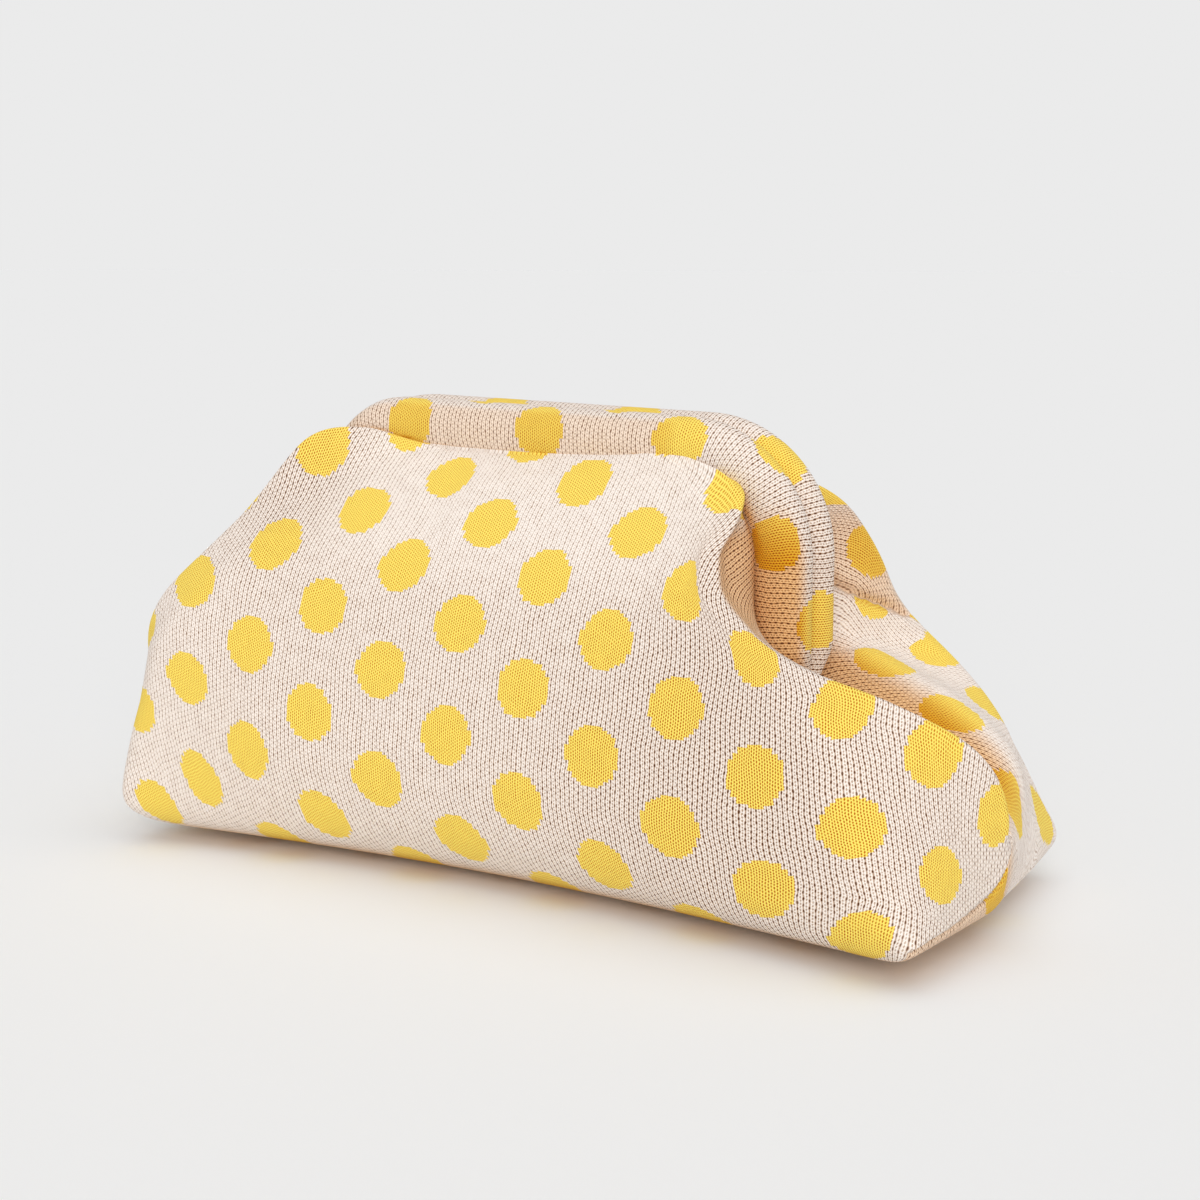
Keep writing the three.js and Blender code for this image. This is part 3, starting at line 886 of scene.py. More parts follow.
for name, stretch in (("front", front_stretch), ("back", back_stretch)):
    print(name, "stitches open by", round(float(stretch(walls[name]["flat"]).mean()), 2), "on average")

# %% [markdown]
# Now each wall can be built. Its edges are turned in, first at both ends and then along the stitch
# line. The back's columns run the other way, so that its faces look outwards as those of the front do.

# %% Build the walls
def build_wall(name, side, opened):
    points, flat = walls[name]["points"].copy(), walls[name]["flat"]
    for end in (0, 1):
        edge = points[:, [0 if end == 0 else -1]]
        on_stitch = smooth_step(SEAM_START, STITCH_END, edge[..., 2:])
        inward = np.zeros_like(edge)
        inward[..., 0] = 1 if end == 0 else -1
        ways = inward * (1 - on_stitch) + stitch_ways(edge, side) * on_stitch
        if end == 1:
            points[:, -1:, 1:2] -= side * SEAM_Y * (1 - on_stitch)
        points, flat = turn_in(points, flat, 1, end, ways, SEAM_TURNS)
    points, flat = turn_in(points, flat, 0, 0, stitch_ways(points[:1], side), STITCH_TURNS)
    right_edge = points.shape[1] - 1 - len(SEAM_TURNS)
    if side > 0:
        points, flat = points[:, ::-1], flat[:, ::-1]
        right_edge = len(SEAM_TURNS)
    piece = grid_piece(name + "_wall", points, flat, opened(flat))
    ends = np.zeros(2 * len(piece.data.edges), int)
    piece.data.edges.foreach_get("vertices", ends)
    on_edge = (ends.reshape(-1, 2) % points.shape[1] == right_edge).all(1)
    piece.data.attributes.new("sharp_edge", "BOOLEAN", "EDGE").data.foreach_set("value", on_edge)
    return piece


front_wall = build_wall("front", -1, front_stretch)
back_wall = build_wall("back", 1, back_stretch)

# %% [markdown]
# ## The sleeves
# The top edge of each wall is folded over the bow and stitched down, which makes a sleeve. It follows
# the middle line of the bow, from the foot of one leg over the top to the foot of the other. A curve
# object with a bevel could draw the tube, but its cloth could not be counted in stitches, so the line
# is worked out here.

# %% The middle line of the bow
SLEEVE_FOOT = 72


def bow_line(steps):
    """Points of the bow's middle line, the way out of its inside, and the length from the bar's middle."""
    legs = {end: BOW_TOP - BEND[end] - SLEEVE_FOOT for end in BEND}
    arcs = {end: BEND[end] * math.pi / 2 for end in BEND}
    bars = {end: LEG_X - BEND[end] for end in BEND}
    reach = {end: legs[end] + arcs[end] + bars[end] for end in BEND}
    s = np.linspace(-reach["left"], reach["right"], steps)
    line = np.zeros((steps, 2))
    out = np.zeros((steps, 2))
    for end, sign in (("left", -1), ("right", 1)):
        here = s * sign >= 0
        length = np.abs(s[here])
        angle = np.clip((length - bars[end]) / BEND[end], 0, math.pi / 2)
        leg = np.clip(length - bars[end] - arcs[end], 0, None)
        out[here] = np.stack([sign * np.sin(angle), np.cos(angle)], -1)
        bar = np.minimum(length, bars[end])
        line[here, 0] = sign * (bar + BEND[end] * np.sin(angle)) + BOW_SHIFT
        line[here, 1] = BOW_TOP - BEND[end] * (1 - np.cos(angle)) - leg
    return line, out, s


print("length of the bow in mm:", round(float(np.ptp(bow_line(2)[2])), 1))

# %% [markdown]
# A sleeve is one strip of cloth, so it is built as a strip: it leaves the stitch line, rolls round
# the bow as an oval and comes back to the stitch line on the inside. The stitches pull its oval into
# a slight point, on the left bend it sags, and it narrows to the foot of each leg. Its colour gets a
# painted shade beside the pocket and under the bar.

# %% Build the sleeves
SLEEVE_HALF_HEIGHT = 9.2
SLEEVE_HALF_DEPTH = 7.5
SLEEVE_STEPS = 300
SLEEVE_SIDES = 56
STITCH_PULL = 0.085
PULL_OUTSIDE, PULL_INSIDE = 0.6, 0.3
LEFT_SLACK = 0.35
SLACK_ALONG = (58, 85)
TAPER_BELOW, TAPER_ABOVE = 2, 12
FOOT_HEIGHT, FOOT_DEPTH = 0.75, 0.45
INSIDE_Y = 0.4
CLOTH_OVER_BOW = 1.034
CLOTH_ASIDE, CLOTH_UP = -7.7, 153.4
LEG_ASIDE, LEG_UP = 5.5, 2.7
# Painted shade: BAR_SHADE darkens the bar's cloth facing the wall, and BEND_LIGHT takes painted shade away on
# the bend.
BAR_SHADE = 0.3
BEND_LIGHT = 0.75
SLEEVE_OPEN, LEG_OPEN = 0.6, 0.35
STITCH_ANGLE = math.atan2((STITCH_Y - BOW_Y) / SLEEVE_HALF_DEPTH, -STITCH_IN / SLEEVE_HALF_HEIGHT)


def sleeve_points(side, line, out, s, angle):
    """Points of a sleeve: one row for each point of the bow's line, one column for each angle round it."""
    taper = smooth_step(SLEEVE_FOOT - TAPER_BELOW, SLEEVE_FOOT + TAPER_ABOVE, line[:, 1])[:, None]
    outside, inside = hump(angle, angle[0], PULL_OUTSIDE), hump(angle, angle[-1], PULL_INSIDE)
    pulled = 1 + STITCH_PULL * (outside + inside)
    slack = 1 - LEFT_SLACK * smooth_step(*SLACK_ALONG, -s)[:, None] * np.clip(np.cos(angle), 0, 1)
    narrowed = FOOT_HEIGHT + (1 - FOOT_HEIGHT) * taper
    height = SLEEVE_HALF_HEIGHT * pulled * slack * narrowed * np.cos(angle)
    depth = BOW_Y + SLEEVE_HALF_DEPTH * pulled * np.sin(angle)
    depth = INSIDE_Y + (depth - INSIDE_Y) * (FOOT_DEPTH + (1 - FOOT_DEPTH) * taper)
    x = line[:, :1] + out[:, :1] * height
    z = line[:, 1:] + out[:, 1:] * height
    return lean(np.stack([x, side * depth, z], -1))


def sleeve_shade(points, s, angle):
    """Painted shade for a sleeve's colour: darker and warmer towards the wall, kept clear outside on the bar
    and on the bend.
    """
    beside_pocket = (s[:, None] > 0) * smooth_step(132, 108, points[..., 2])
    facing_wall = smooth_step(0.05, 0.75, np.sin(angle))
    on_bar = smooth_step(110, 80, np.abs(s))[:, None]
    on_bend = between(45, 60, 78, 96, s)[:, None]
    sleeve_painted_shade = (beside_pocket + BAR_SHADE * on_bar) * facing_wall
    return sleeve_painted_shade - on_bar * (1 - facing_wall) - BEND_LIGHT * on_bend


def build_sleeve(name, side):
    line, out, s = bow_line(SLEEVE_STEPS)
    angle = STITCH_ANGLE - np.linspace(0, 2 * math.pi, SLEEVE_SIDES + 1)
    points = sleeve_points(side, line, out, s, angle)
    turn = np.hypot(SLEEVE_HALF_HEIGHT * np.sin(angle), SLEEVE_HALF_DEPTH * np.cos(angle))
    step = 2 * math.pi / SLEEVE_SIDES
    w = np.append(0, np.cumsum((turn[1:] + turn[:-1]) / 2 * step))
    on_leg = smooth_step(55, 110, s)[:, None]
    u = CLOTH_OVER_BOW * s[:, None] + CLOTH_ASIDE + LEG_ASIDE * on_leg
    v = w + CLOTH_UP + LEG_UP * on_leg
    flat = np.stack(np.broadcast_arrays(u, v, sleeve_shade(points, s, angle), 0), -1)
    opened = SLEEVE_OPEN + LEG_OPEN * smooth_step(70, 105, np.abs(s))[:, None] * np.ones_like(w)
    if side > 0:
        points, flat, opened = points[::-1], flat[::-1], opened[::-1]
    return grid_piece(name, points, flat, opened), s[-1] - s[0], w[-1]


front_sleeve, sleeve_length, sleeve_round = build_sleeve("front_sleeve", -1)
back_sleeve, _, _ = build_sleeve("back_sleeve", 1)
print("a sleeve is cut", round(sleeve_length, 1), "mm long and", round(sleeve_round, 1), "mm wide")

# %% [markdown]
# ## Painted shade in the folds
# Where two folds face each other little light gets in. A renderer shades that by itself, and the
# little light that gets there has passed from cloth to cloth and turned warm. That warm shade is also
# painted into the colour. So every piece gets a number for how hidden each of its points is: from the
# point a fixed fan of lines goes out, and the nearer they end on cloth or on the floor the more it is
# hidden. A coarse set of points is enough, because the number changes slowly, and the rest are read
# off between them. The shade that was given to the folds above is added to it, and the sum is the
# painted shade of each point.

# %% Measure how hidden the cloth is
FAN = 40
FAN_REACH = 32 * MM
LOOK_EVERY = 2
CLEAR = 0.4 * MM
PAINTED_SHADE_FROM, PAINTED_SHADE_FULL = 0.34, 0.85


def fan_ways(count):
    """Unit directions spread over a half ball about +Z, closer together near the middle."""
    k = np.arange(count) + 0.5
    height = np.sqrt(1 - k / count)
    turn = k * math.pi * (3 - math.sqrt(5))
    flat = np.sqrt(1 - height**2)
    return np.stack([flat * np.cos(turn), flat * np.sin(turn), height], 1)


def cloth_tree(pieces):
    """One search tree over all the cloth."""
    corners, faces = [], []
    for piece in pieces:
        start = len(corners)
        corners += [v.co for v in piece.data.vertices]
        faces += [[start + number for number in face.vertices] for face in piece.data.polygons]
    return BVHTree.FromPolygons(corners, faces)


def hidden_share(place, normal, tree):
    """How hidden a point is, from 0 in the open to 1."""
    side = normal.orthogonal().normalized()
    other = normal.cross(side)
    start = place + normal * CLEAR
    total = 0
    for a, b, c in fan:
        way = side * a + other * b + normal * c
        reach = FAN_REACH
        hit = tree.ray_cast(start, way, FAN_REACH)[3]
        if hit is not None:
            reach = hit
        if way.z < 0:
            reach = min(reach, start.z / -way.z)
        total += 1 - max(reach, 0) / FAN_REACH
    return total / FAN


fan = fan_ways(FAN).tolist()
cloth = (front_wall, back_wall, front_sleeve, back_sleeve)
all_cloth = cloth_tree(cloth)
for piece in cloth:
    rows, across = piece["rows"], piece["across"]
    look_down = np.unique(np.append(np.arange(0, rows, LOOK_EVERY), rows - 1))
    look_across = np.unique(np.append(np.arange(0, across, LOOK_EVERY), across - 1))
    points = piece.data.vertices
    shares = np.array([[hidden_share(points[r * across + c].co, points[r * across + c].normal, all_cloth)
                        for c in look_across] for r in look_down])
    full_rows = np.array([np.interp(np.arange(across), look_across, line) for line in shares])
    fine = np.array([np.interp(np.arange(rows), look_down, line) for line in full_rows.T]).T
    painted_shade_layer = piece.data.attributes.new("painted_shade_in_folds", "FLOAT", "POINT")
    shade = np.zeros(rows * across, np.float32)
    piece.data.attributes["fold_shade"].data.foreach_get("value", shade)
    # Painted shade: the hidden share plus the shade given to the folds sets how much of the fold's tan the
    # colour gets.
    shaded = np.clip(smooth_step(PAINTED_SHADE_FROM, PAINTED_SHADE_FULL, fine).ravel() + shade, 0, 1)
    painted_shade_layer.data.foreach_set("value", shaded.astype(np.float32))
    print(piece.name, "hidden from", round(float(fine.min()), 2), "to", round(float(fine.max()), 2))

# %% [markdown]
# ## The knit as node groups
# The cloth is a two-colour knit. Its loops stand in upright columns, the wales, and level rows, the
# courses. On the cream ground every wale shows a slot between the loops at every second course,
# staggered from one wale to the next. The slots are coloured with a painted brown shade, darker where
# the cloth is stretched. Drawing this as an image would blur close up, so it is worked out from the
# flat place of each point. The steps are node groups with named sockets, because the ground and the
# dots both use them with values of their own.

# %% Helpers for node trees
def put(tree, socket, value):
    """Links a socket to another one, or sets its value."""
    if isinstance(value, bpy.types.NodeSocket):
        tree.links.new(value, socket)
    else:
        socket.default_value = value


def put_all(tree, node, **values):
    """Links or sets several sockets of a node, given by name with _ for a space."""
    for name, value in values.items():
        put(tree, node.inputs[name.replace("_", " ")], value)


def calc(tree, operation, *values, kind="ShaderNodeMath"):
    """One step of arithmetic."""
    node = tree.nodes.new(kind)
    node.operation = operation
    for socket, value in zip(node.inputs, values):
        put(tree, socket, value)
    return node.outputs[0]


def vector_calc(tree, operation, *values):
    return calc(tree, operation, *values, kind="ShaderNodeVectorMath")


def blend_colours(tree, factor, first, second, how="MIX"):
    node = tree.nodes.new("ShaderNodeMix")
    node.data_type = "RGBA"
    node.blend_type = how
    for socket, value in (("Factor", factor), (6, first), (7, second)):
        put(tree, node.inputs[socket], value)
    return node.outputs[2]


def noise(tree, place, scale, detail, dimensions="2D"):
    node = tree.nodes.new("ShaderNodeTexNoise")
    node.noise_dimensions = dimensions
    put_all(tree, node, Vector=place, Scale=scale, Detail=detail)
    return node.outputs


def fade(tree, value, none, full):
    """0 where value is at none and 1 where it is at full, with a soft passage."""
    node = tree.nodes.new("ShaderNodeMapRange")
    node.interpolation_type = "SMOOTHSTEP"
    put_all(tree, node, Value=value, From_Min=none, From_Max=full)
    return node.outputs[0]


def split(tree, vector):
    node = tree.nodes.new("ShaderNodeSeparateXYZ")
    put(tree, node.inputs[0], vector)
    return node.outputs[0], node.outputs[1]


def new_group(name, inputs, outputs):
    """An empty node group with named sockets; inputs and outputs are pairs of a name and a kind."""
    tree = bpy.data.node_groups.new(name, "ShaderNodeTree")
    for in_out, sockets in (("INPUT", inputs), ("OUTPUT", outputs)):
        for socket, kind in sockets:
            tree.interface.new_socket(name=socket, in_out=in_out, socket_type="NodeSocket" + kind)
    return tree, tree.nodes.new("NodeGroupInput").outputs, tree.nodes.new("NodeGroupOutput").inputs


def place_group(tree, group, **values):
    """A group in a node tree, with its inputs."""
    node = tree.nodes.new("ShaderNodeGroup")
    node.node_tree = group
    put_all(tree, node, **values)
    return node.outputs


def new_material(name, **settings):
    """A material, its node tree and its shader, with some of the shader's own sockets set."""
    material = bpy.data.materials.new(name)
    material.use_nodes = True
    shader = material.node_tree.nodes["Principled BSDF"]
    put_all(material.node_tree, shader, **settings)
    return material, material.node_tree, shader


print("helpers for nodes are ready; node groups so far:", len(bpy.data.node_groups))

# %% [markdown]
# The first group is the knitting itself, counted in stitches across and up. The yarn runs in two sets
# of slanting strands that cross, which makes a net of diamonds, and each diamond has a slot in its
# middle. The slots of neighbouring wales are staggered by half a course. The group gives the height
# of the strands and the slots; the slots' size is an input, so the cloth can open where it is
# stretched.

# %% Loops
SLOT_OUTSIDE, SLOT_INSIDE = 1.35, 0.55
STRAND_SLANT = 0.5
knit_loops, given, made = new_group(
    "knit_loops",
    [("Across Count", "Float"), ("Up Count", "Float"), ("Slot Width", "Float"), ("Slot Height", "Float")],
    [("Strand", "Float"), ("Slot", "Float")])
wale_number = calc(knit_loops, "ROUND", given["Across Count"])
from_wale = calc(knit_loops, "SUBTRACT", given["Across Count"], wale_number)
stagger = calc(knit_loops, "MULTIPLY_ADD", calc(knit_loops, "FLOORED_MODULO", wale_number, 2.0), 0.5, 0.5)
course_count = calc(knit_loops, "ADD", given["Up Count"], stagger)
from_course = calc(knit_loops, "SUBTRACT", calc(knit_loops, "FRACT", course_count), 0.5)
oval = calc(knit_loops, "SQRT", calc(
    knit_loops, "ADD",
    calc(knit_loops, "POWER", calc(knit_loops, "DIVIDE", from_wale, given["Slot Width"]), 2.0),
    calc(knit_loops, "POWER", calc(knit_loops, "DIVIDE", from_course, given["Slot Height"]), 2.0)))
put(knit_loops, made["Slot"], fade(knit_loops, oval, SLOT_OUTSIDE, SLOT_INSIDE))
ridges = []
for slant in (STRAND_SLANT, -STRAND_SLANT):
    along = calc(knit_loops, "MULTIPLY_ADD", given["Across Count"], slant, given["Up Count"])
    off = calc(knit_loops, "ABSOLUTE", calc(knit_loops, "SUBTRACT", calc(knit_loops, "FRACT", along), 0.5))
    ridges.append(calc(knit_loops, "COSINE", calc(knit_loops, "MULTIPLY", off, math.pi)))
put(knit_loops, made["Strand"], calc(knit_loops, "MAXIMUM", *ridges))
print("group:", knit_loops.name)

# %% [markdown]
# The dots stand in a diamond pattern: two upright grids, one set half a step across and half a step
# up from the other. A stitch is yellow if its middle lies within a radius of the nearest point of
# either grid. Only middles are asked for, so each stitch is wholly cream or wholly yellow and the
# dots get the stepped edge of knitting.

# %% Dots
knit_dots, given, made = new_group(
    "knit_dots",
    [("U", "Float"), ("V", "Float"), ("Wale", "Float"), ("Course", "Float"), ("Step Across", "Float"),
     ("Step Up", "Float"), ("Radius", "Float")],
    [("Dot", "Float")])
middles = {}
for name, size in (("U", "Wale"), ("V", "Course")):
    number = calc(knit_dots, "ROUND", calc(knit_dots, "DIVIDE", given[name], given[size]))
    middles[name] = calc(knit_dots, "MULTIPLY", number, given[size])
nearest = []
for shift in (0.0, 0.5):
    squares = []
    for name, step in (("U", "Step Across"), ("V", "Step Up")):
        count = calc(knit_dots, "ADD", calc(knit_dots, "DIVIDE", middles[name], given[step]), shift)
        off = calc(knit_dots, "SUBTRACT", count, calc(knit_dots, "ROUND", count))
        squares.append(calc(knit_dots, "POWER", calc(knit_dots, "MULTIPLY", off, given[step]), 2.0))
    nearest.append(calc(knit_dots, "SQRT", calc(knit_dots, "ADD", *squares)))
from_dot = calc(knit_dots, "MINIMUM", *nearest)
put(knit_dots, made["Dot"], calc(knit_dots, "LESS_THAN", from_dot, given["Radius"]))
print("group:", knit_dots.name)

# %% [markdown]
# No two stitches are quite alike. The last group moves the flat places by a soft noise of a few
# tenths of a millimetre before the stitches are counted, which lets the wales wander as they do in
# real cloth.

# %% Wandering wales
knit_wander, given, made = new_group(
    "knit_wander", [("Flat", "Vector"), ("Size", "Float"), ("Amount", "Float")], [("Flat", "Vector")])
fineness = calc(knit_wander, "DIVIDE", 1.0, given["Size"])
cloud = noise(knit_wander, given["Flat"], fineness, 1.0)["Color"]
centred = vector_calc(knit_wander, "SUBTRACT", cloud, (0.5, 0.5, 0.5))
scaled = knit_wander.nodes.new("ShaderNodeVectorMath")
scaled.operation = "SCALE"
put(knit_wander, scaled.inputs[0], centred)
put(knit_wander, scaled.inputs["Scale"], given["Amount"])
put(knit_wander, made["Flat"], vector_calc(knit_wander, "ADD", given["Flat"], scaled.outputs[0]))
print("group:", knit_wander.name)

# %% [markdown]
# ## The knit's material
# The groups now come together into stitches. The flat places are moved so that the dots fall where
# they do on the bag, and then wander twice, widely and closely. The wide slots show on the cream
# ground alone, and a fainter, larger slot round each of them gives its edge a painted brown shade.
# The fine slots are in all the cloth. A noise makes them uneven, and where the cloth is stretched
# open they are deeper, so their painted shade is darker.

# %% Stitches and dots
WALE = 1.65
COURSE = 1.01
DOT_START = (19, 36)
DOT_ACROSS = 55
DOT_UP = 36.4
DOT_RADIUS = 9.6
WIDE_WANDER = {"Size": 14.0, "Amount": 1.4}
NEAR_WANDER = {"Size": 2.6, "Amount": 0.5}
PATCH_SIZE = 4.0
UNEVEN = 1.2
# A slot: its half width in wales, how much wider it gets when stretched open, and its half height.
WIDE_SLOT = (0.10, 0.06, 0.33)
FINE_SLOT = (0.18, 0.06, 0.40)
HALO_SLOT = (0.24, 0.06, 0.46)
# A slot's depth sets how far it sinks in the bump and how dark its painted shade is.
DEPTH_CLOSED, DEPTH_MORE, DEPTH_LEAST = 0.3, 0.75, 0.25
DOT_DEPTH_LEAST = 0.7
HALO_SHARE = 0.42


def number_from(tree, meaning):
    """A number that goes with the points of the mesh."""
    node = tree.nodes.new("ShaderNodeAttribute")
    node.attribute_name = meaning
    return node.outputs["Fac"]


def knit_stitches(tree):
    """Masks for the strands, the slots and the dots."""
    flat_place = tree.nodes.new("ShaderNodeUVMap")
    flat_place.uv_map = "flat_cloth"
    in_mm = (1 / MM, 1 / MM, 0)
    to_dots = (-DOT_START[0], -DOT_START[1], 0)
    moved = vector_calc(tree, "MULTIPLY_ADD", flat_place.outputs[0], in_mm, to_dots)
    wandered = place_group(tree, knit_wander, Flat=moved, **WIDE_WANDER)["Flat"]
    u, v = split(tree, place_group(tree, knit_wander, Flat=wandered, **NEAR_WANDER)["Flat"])
    opened = number_from(tree, "stretched_open")

    def loops(wale, course, slot):
        width, wider, height = slot
        return place_group(
            tree, knit_loops,
            Across_Count=calc(tree, "DIVIDE", u, wale),
            Up_Count=calc(tree, "DIVIDE", v, course),
            Slot_Width=calc(tree, "MULTIPLY_ADD", opened, wider, width),
            Slot_Height=height)

    patchy = noise(tree, moved, 1 / PATCH_SIZE, 3.0)["Fac"]
    uneven = calc(tree, "MULTIPLY_ADD", patchy, UNEVEN, -UNEVEN / 2)
    open_here = calc(tree, "ADD", opened, uneven)
    depth = calc(tree, "MULTIPLY_ADD", open_here, DEPTH_MORE, DEPTH_CLOSED)
    depth = calc(tree, "MINIMUM", calc(tree, "MAXIMUM", depth, DEPTH_LEAST), 1.0)
    dot = place_group(tree, knit_dots, U=u, V=v, Wale=WALE, Course=COURSE, Step_Across=DOT_ACROSS,
                      Step_Up=DOT_UP, Radius=DOT_RADIUS)["Dot"]
    fine = loops(WALE / 2, COURSE, FINE_SLOT)
    wide = loops(WALE, 2 * COURSE, WIDE_SLOT)["Slot"]
    halo = loops(WALE, 2 * COURSE, HALO_SLOT)["Slot"]
    return {
        "strand": fine["Strand"],
        "fine slot": calc(tree, "MULTIPLY", fine["Slot"], depth),
        "dot slot": calc(tree, "MULTIPLY", fine["Slot"], calc(tree, "MAXIMUM", depth, DOT_DEPTH_LEAST)),
        "wide hole": wide,
        "wide slot": calc(tree, "MULTIPLY", wide, depth),
        "halo": calc(tree, "MULTIPLY", halo, calc(tree, "MULTIPLY", depth, HALO_SHARE)),
        "dot": calc(tree, "MULTIPLY", dot, calc(tree, "LESS_THAN", number_from(tree, "no_dots"), 0.5)),
    }


print("stitches of", WALE, "by", COURSE, "mm, dots of", 2 * DOT_RADIUS, "mm")

# %% [markdown]
# Real yarn is matt, with a faint haze of fibres that catches light at grazing angles: a high
# roughness and some sheen on the shader do this. Between the strands both yarns get a painted shade
# of a deeper tone, and their slots go over to a painted brown shade in the cream and to a painted
# amber shade in the dots. In the folds light has passed from cloth to cloth several times and taken
# on its warm tone; that is painted shade too, so the colour there is multiplied by a tan, or by a
# deeper amber in the dots. The bump raises the strands and sinks the slots.

# %% Cream knit with yellow dots
# Painted shade: each yarn goes over to its darker tone between the strands.
CREAM_LIGHT = (1.0, 0.945, 0.90, 1)
CREAM_SHADE_BETWEEN_STRANDS = (0.90, 0.785, 0.69, 1)
# Painted shade in the slots: the holes of the cream go over to these browns, those of the dots to the amber
# below.
CREAM_SHADE = (0.52, 0.36, 0.25, 1)
HALO_SHADE_BROWN = (0.62, 0.36, 0.17, 1)
SLOT_SHADE_BROWN = (0.12, 0.035, 0.005, 1)
YELLOW_LIGHT = (1.0, 0.84, 0.17, 1)
YELLOW_SHADE_BETWEEN_STRANDS = (1.0, 0.50, 0.0, 1)
SLOT_SHADE_AMBER = (0.55, 0.14, 0.0, 1)
# Painted shade in the folds: the colour is multiplied towards these where the cloth is hidden in a fold.
FOLD_SHADE_TAN = (0.93, 0.64, 0.34, 1)
FOLD_SHADE_AMBER = (0.74, 0.46, 0.10, 1)
BUMP_STRENGTH = 0.5
BUMP_DISTANCE = 0.5 * MM


def knit_colour(tree, stitch):
    """The colour of the yarn, with painted shade between the strands, in the slots and in the folds."""
    cream = blend_colours(tree, stitch["strand"], CREAM_SHADE_BETWEEN_STRANDS, CREAM_LIGHT)
    for mask, colour in (("fine slot", CREAM_SHADE), ("halo", HALO_SHADE_BROWN), ("wide slot", SLOT_SHADE_BROWN)):
        cream = blend_colours(tree, stitch[mask], cream, colour)
    yellow = blend_colours(tree, stitch["strand"], YELLOW_SHADE_BETWEEN_STRANDS, YELLOW_LIGHT)
    yellow = blend_colours(tree, stitch["dot slot"], yellow, SLOT_SHADE_AMBER)
    knit = blend_colours(tree, stitch["dot"], cream, yellow)
    # Painted shade: multiply by the fold's tan where a point is hidden in a fold.
    painted_fold_colour = blend_colours(tree, stitch["dot"], FOLD_SHADE_TAN, FOLD_SHADE_AMBER)
    return blend_colours(tree, number_from(tree, "painted_shade_in_folds"), knit, painted_fold_colour, "MULTIPLY")


def knit_material(name):
    material, tree, shader = new_material(
        name, Roughness=0.9, Specular_IOR_Level=0.1, Sheen_Weight=0.05, Sheen_Roughness=0.5)
    stitch = knit_stitches(tree)
    wide_hole = calc(tree, "MULTIPLY", stitch["wide hole"], calc(tree, "SUBTRACT", 1.0, stitch["dot"]))
    relief = calc(tree, "SUBTRACT", calc(tree, "SUBTRACT", stitch["strand"], stitch["fine slot"]), wide_hole)
    bump = tree.nodes.new("ShaderNodeBump")
    put_all(tree, bump, Strength=BUMP_STRENGTH, Distance=BUMP_DISTANCE, Height=relief)
    put_all(tree, shader, Base_Color=knit_colour(tree, stitch), Normal=bump.outputs[0])
    return material


knit = knit_material("cream_knit")
for piece in cloth:
    piece.data.materials.append(knit)
print("knit on", ", ".join(piece.name for piece in cloth))

# %% [markdown]
# ## The hidden metal
# The bows and their hinge pins sit inside the sleeves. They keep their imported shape. Their finish is
# a plain brushed steel: fine streaks from a noise that is drawn out along the bar change the
# roughness a little.

# %% Brushed steel
STREAKS = (40, 2500, 2500)
STEEL_DARK = (0.42, 0.42, 0.41, 1)
STEEL_LIGHT = (0.58, 0.58, 0.57, 1)
SMOOTHEST, ROUGHER = 0.25, 0.25
steel, tree, shader = new_material("brushed_steel", Metallic=1.0)
place = tree.nodes.new("ShaderNodeTexCoord")
drawn_out = tree.nodes.new("ShaderNodeMapping")
put_all(tree, drawn_out, Vector=place.outputs["Object"], Scale=STREAKS)
streak = noise(tree, drawn_out.outputs[0], 5.0, 4.0, "3D")["Fac"]
put_all(tree, shader, Roughness=calc(tree, "MULTIPLY_ADD", streak, ROUGHER, SMOOTHEST),
        Base_Color=blend_colours(tree, streak, STEEL_DARK, STEEL_LIGHT))
METAL_NODES = ("front_frame", "back_frame", "left_hinge", "right_hinge")
for name in METAL_NODES:
    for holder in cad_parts[name].material_slots:
        holder.material = steel
print("brushed steel on", ", ".join(METAL_NODES))

# %% [markdown]
# ## What stands for what
# Each sheet takes the place of its plain solid, which is hidden, and moves with the bag's one body.
# The walls and sleeves are cloth.

for piece, side, sleeve in ((front_wall, "front", front_sleeve), (back_wall, "back", back_sleeve)):
    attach(piece, "root")
    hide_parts(side + "_panel")
for piece, side in ((front_sleeve, "front"), (back_sleeve, "back")):
    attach(piece, "root")
    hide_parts(side + "_casing")

# %% [markdown]
# ## Floor, light and camera
# The bag stands on a pale floor in even, bright light, with a soft key from above and a warm, low
# fill from the front on the right, which lights the lower half and the right end. The background has
# the brightness that the floor has in that light, so the two meet without a line.

# %% Floor and light
BACKGROUND = 0.83
SKY = 0.49
FLOOR_REACH = 40
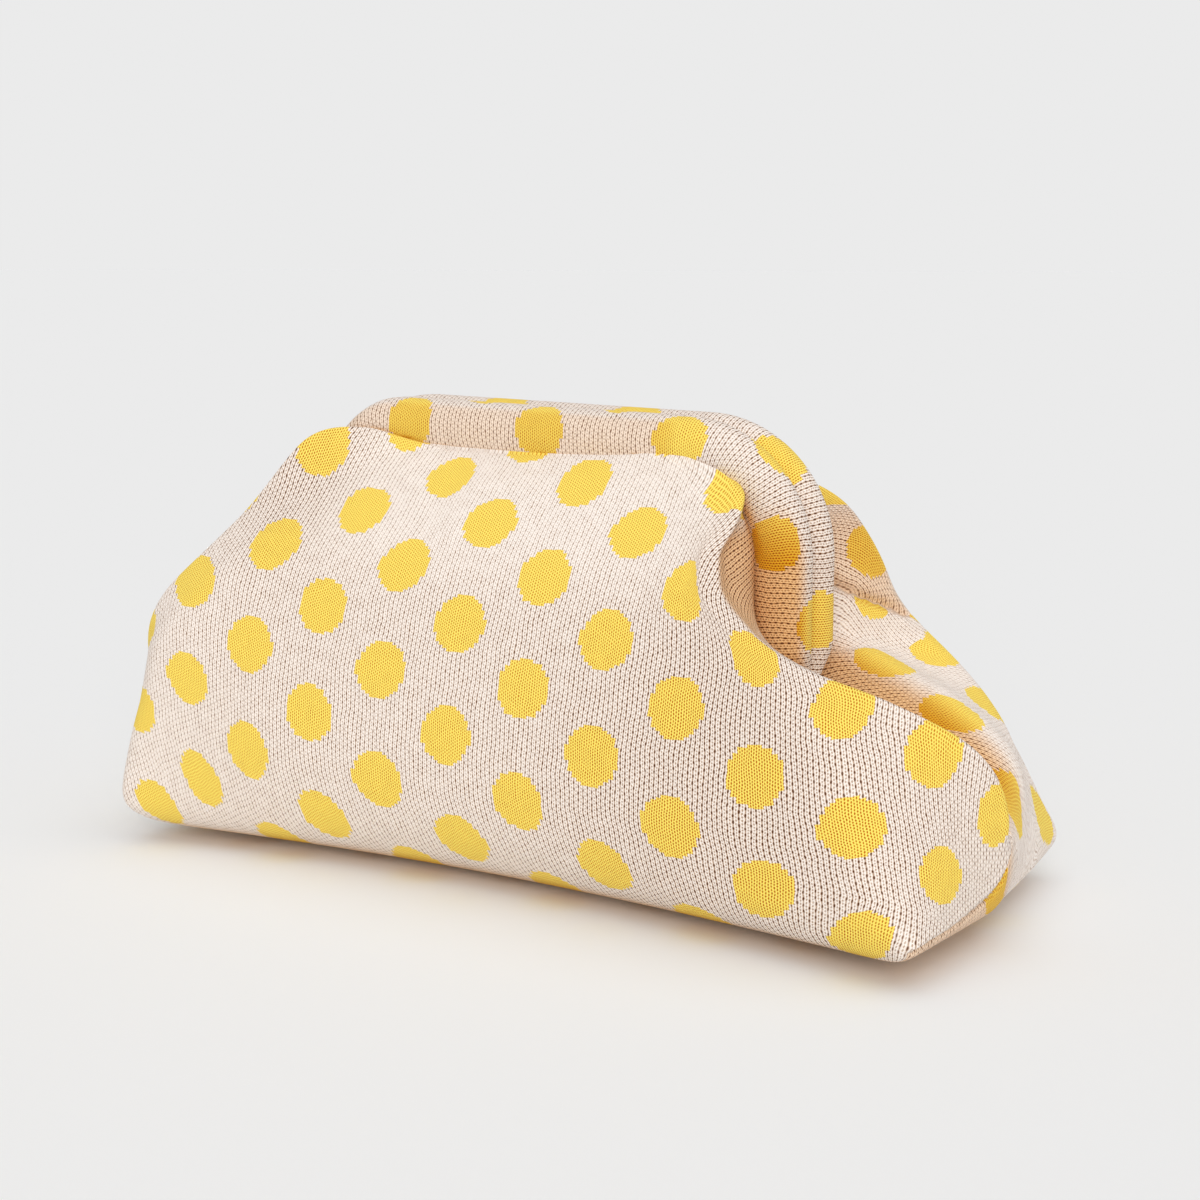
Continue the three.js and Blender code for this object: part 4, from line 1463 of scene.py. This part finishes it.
# A light: its strength, the way to it, how many degrees wide it is, and its colour.
LIGHTS = {
    "soft_key": (0.88, (0.15, -0.05, 0.99), 70, (1, 1, 1)),
    "warm_fill": (1.38, (0.5, -0.8, 0.34), 40, (1, 0.90, 0.81)),
}
world = bpy.context.scene.world or bpy.data.worlds.new("studio")
bpy.context.scene.world = world
world.use_nodes = True
sky = world.node_tree.nodes["Background"]
sky.inputs["Color"].default_value = (1, 1, 1, 1)
seen = world.node_tree.nodes.new("ShaderNodeLightPath").outputs["Is Camera Ray"]
strength = calc(world.node_tree, "MULTIPLY_ADD", seen, BACKGROUND - SKY, SKY)
put(world.node_tree, sky.inputs["Strength"], strength)

on_floor = np.full(3, SKY)
for name, (energy, way, angle, colour) in LIGHTS.items():
    light = bpy.data.lights.new(name, "SUN")
    light.energy, light.angle, light.color = energy, math.radians(angle), colour
    holder = bpy.data.objects.new(name, light)
    holder.rotation_euler = Vector(way).to_track_quat("Z", "Y").to_euler()
    bpy.context.collection.objects.link(holder)
    on_floor += energy * Vector(way).normalized().z / math.pi * np.array(colour)

floor_mesh = bpy.data.meshes.new("studio_floor")
floor_corners = [(x * FLOOR_REACH, y * FLOOR_REACH, 0) for x, y in ((-1, -1), (1, -1), (1, 1), (-1, 1))]
floor_mesh.from_pydata(floor_corners, [], [(0, 1, 2, 3)])
floor = bpy.data.objects.new("studio_floor", floor_mesh)
bpy.context.collection.objects.link(floor)
pale_grey = (BACKGROUND / on_floor).tolist()
pale, _, _ = new_material("pale_floor", Base_Color=(*pale_grey, 1), Roughness=1.0, Specular_IOR_Level=0.0)
floor_mesh.materials.append(pale)
bpy.context.scene.view_settings.view_transform = "Standard"
print("floor grey", np.round(pale_grey, 3))

# %% [markdown]
# The camera stands where the photo was taken from: to the right of the bag's front and slightly above
# it, near enough for the near shoulder to look larger than the far one.

# %% Camera
AIM = Vector((5.9, 0, 90.5)) * MM
AZIMUTH = math.radians(31.9)
ELEVATION = math.radians(9.6)
DISTANCE = 676 * MM
way_back = Vector((
    math.sin(AZIMUTH) * math.cos(ELEVATION),
    -math.cos(AZIMUTH) * math.cos(ELEVATION),
    math.sin(ELEVATION),
))
camera = bpy.data.cameras.new("camera")
camera.lens = 60
camera.sensor_width = 36
camera.clip_end = 200
camera_object = bpy.data.objects.new("camera", camera)
camera_object.location = AIM + way_back * DISTANCE
camera_object.rotation_euler = way_back.to_track_quat("Z", "Y").to_euler()
bpy.context.collection.objects.link(camera_object)
bpy.context.scene.camera = camera_object
print("camera at", [round(v, 4) for v in camera_object.location])
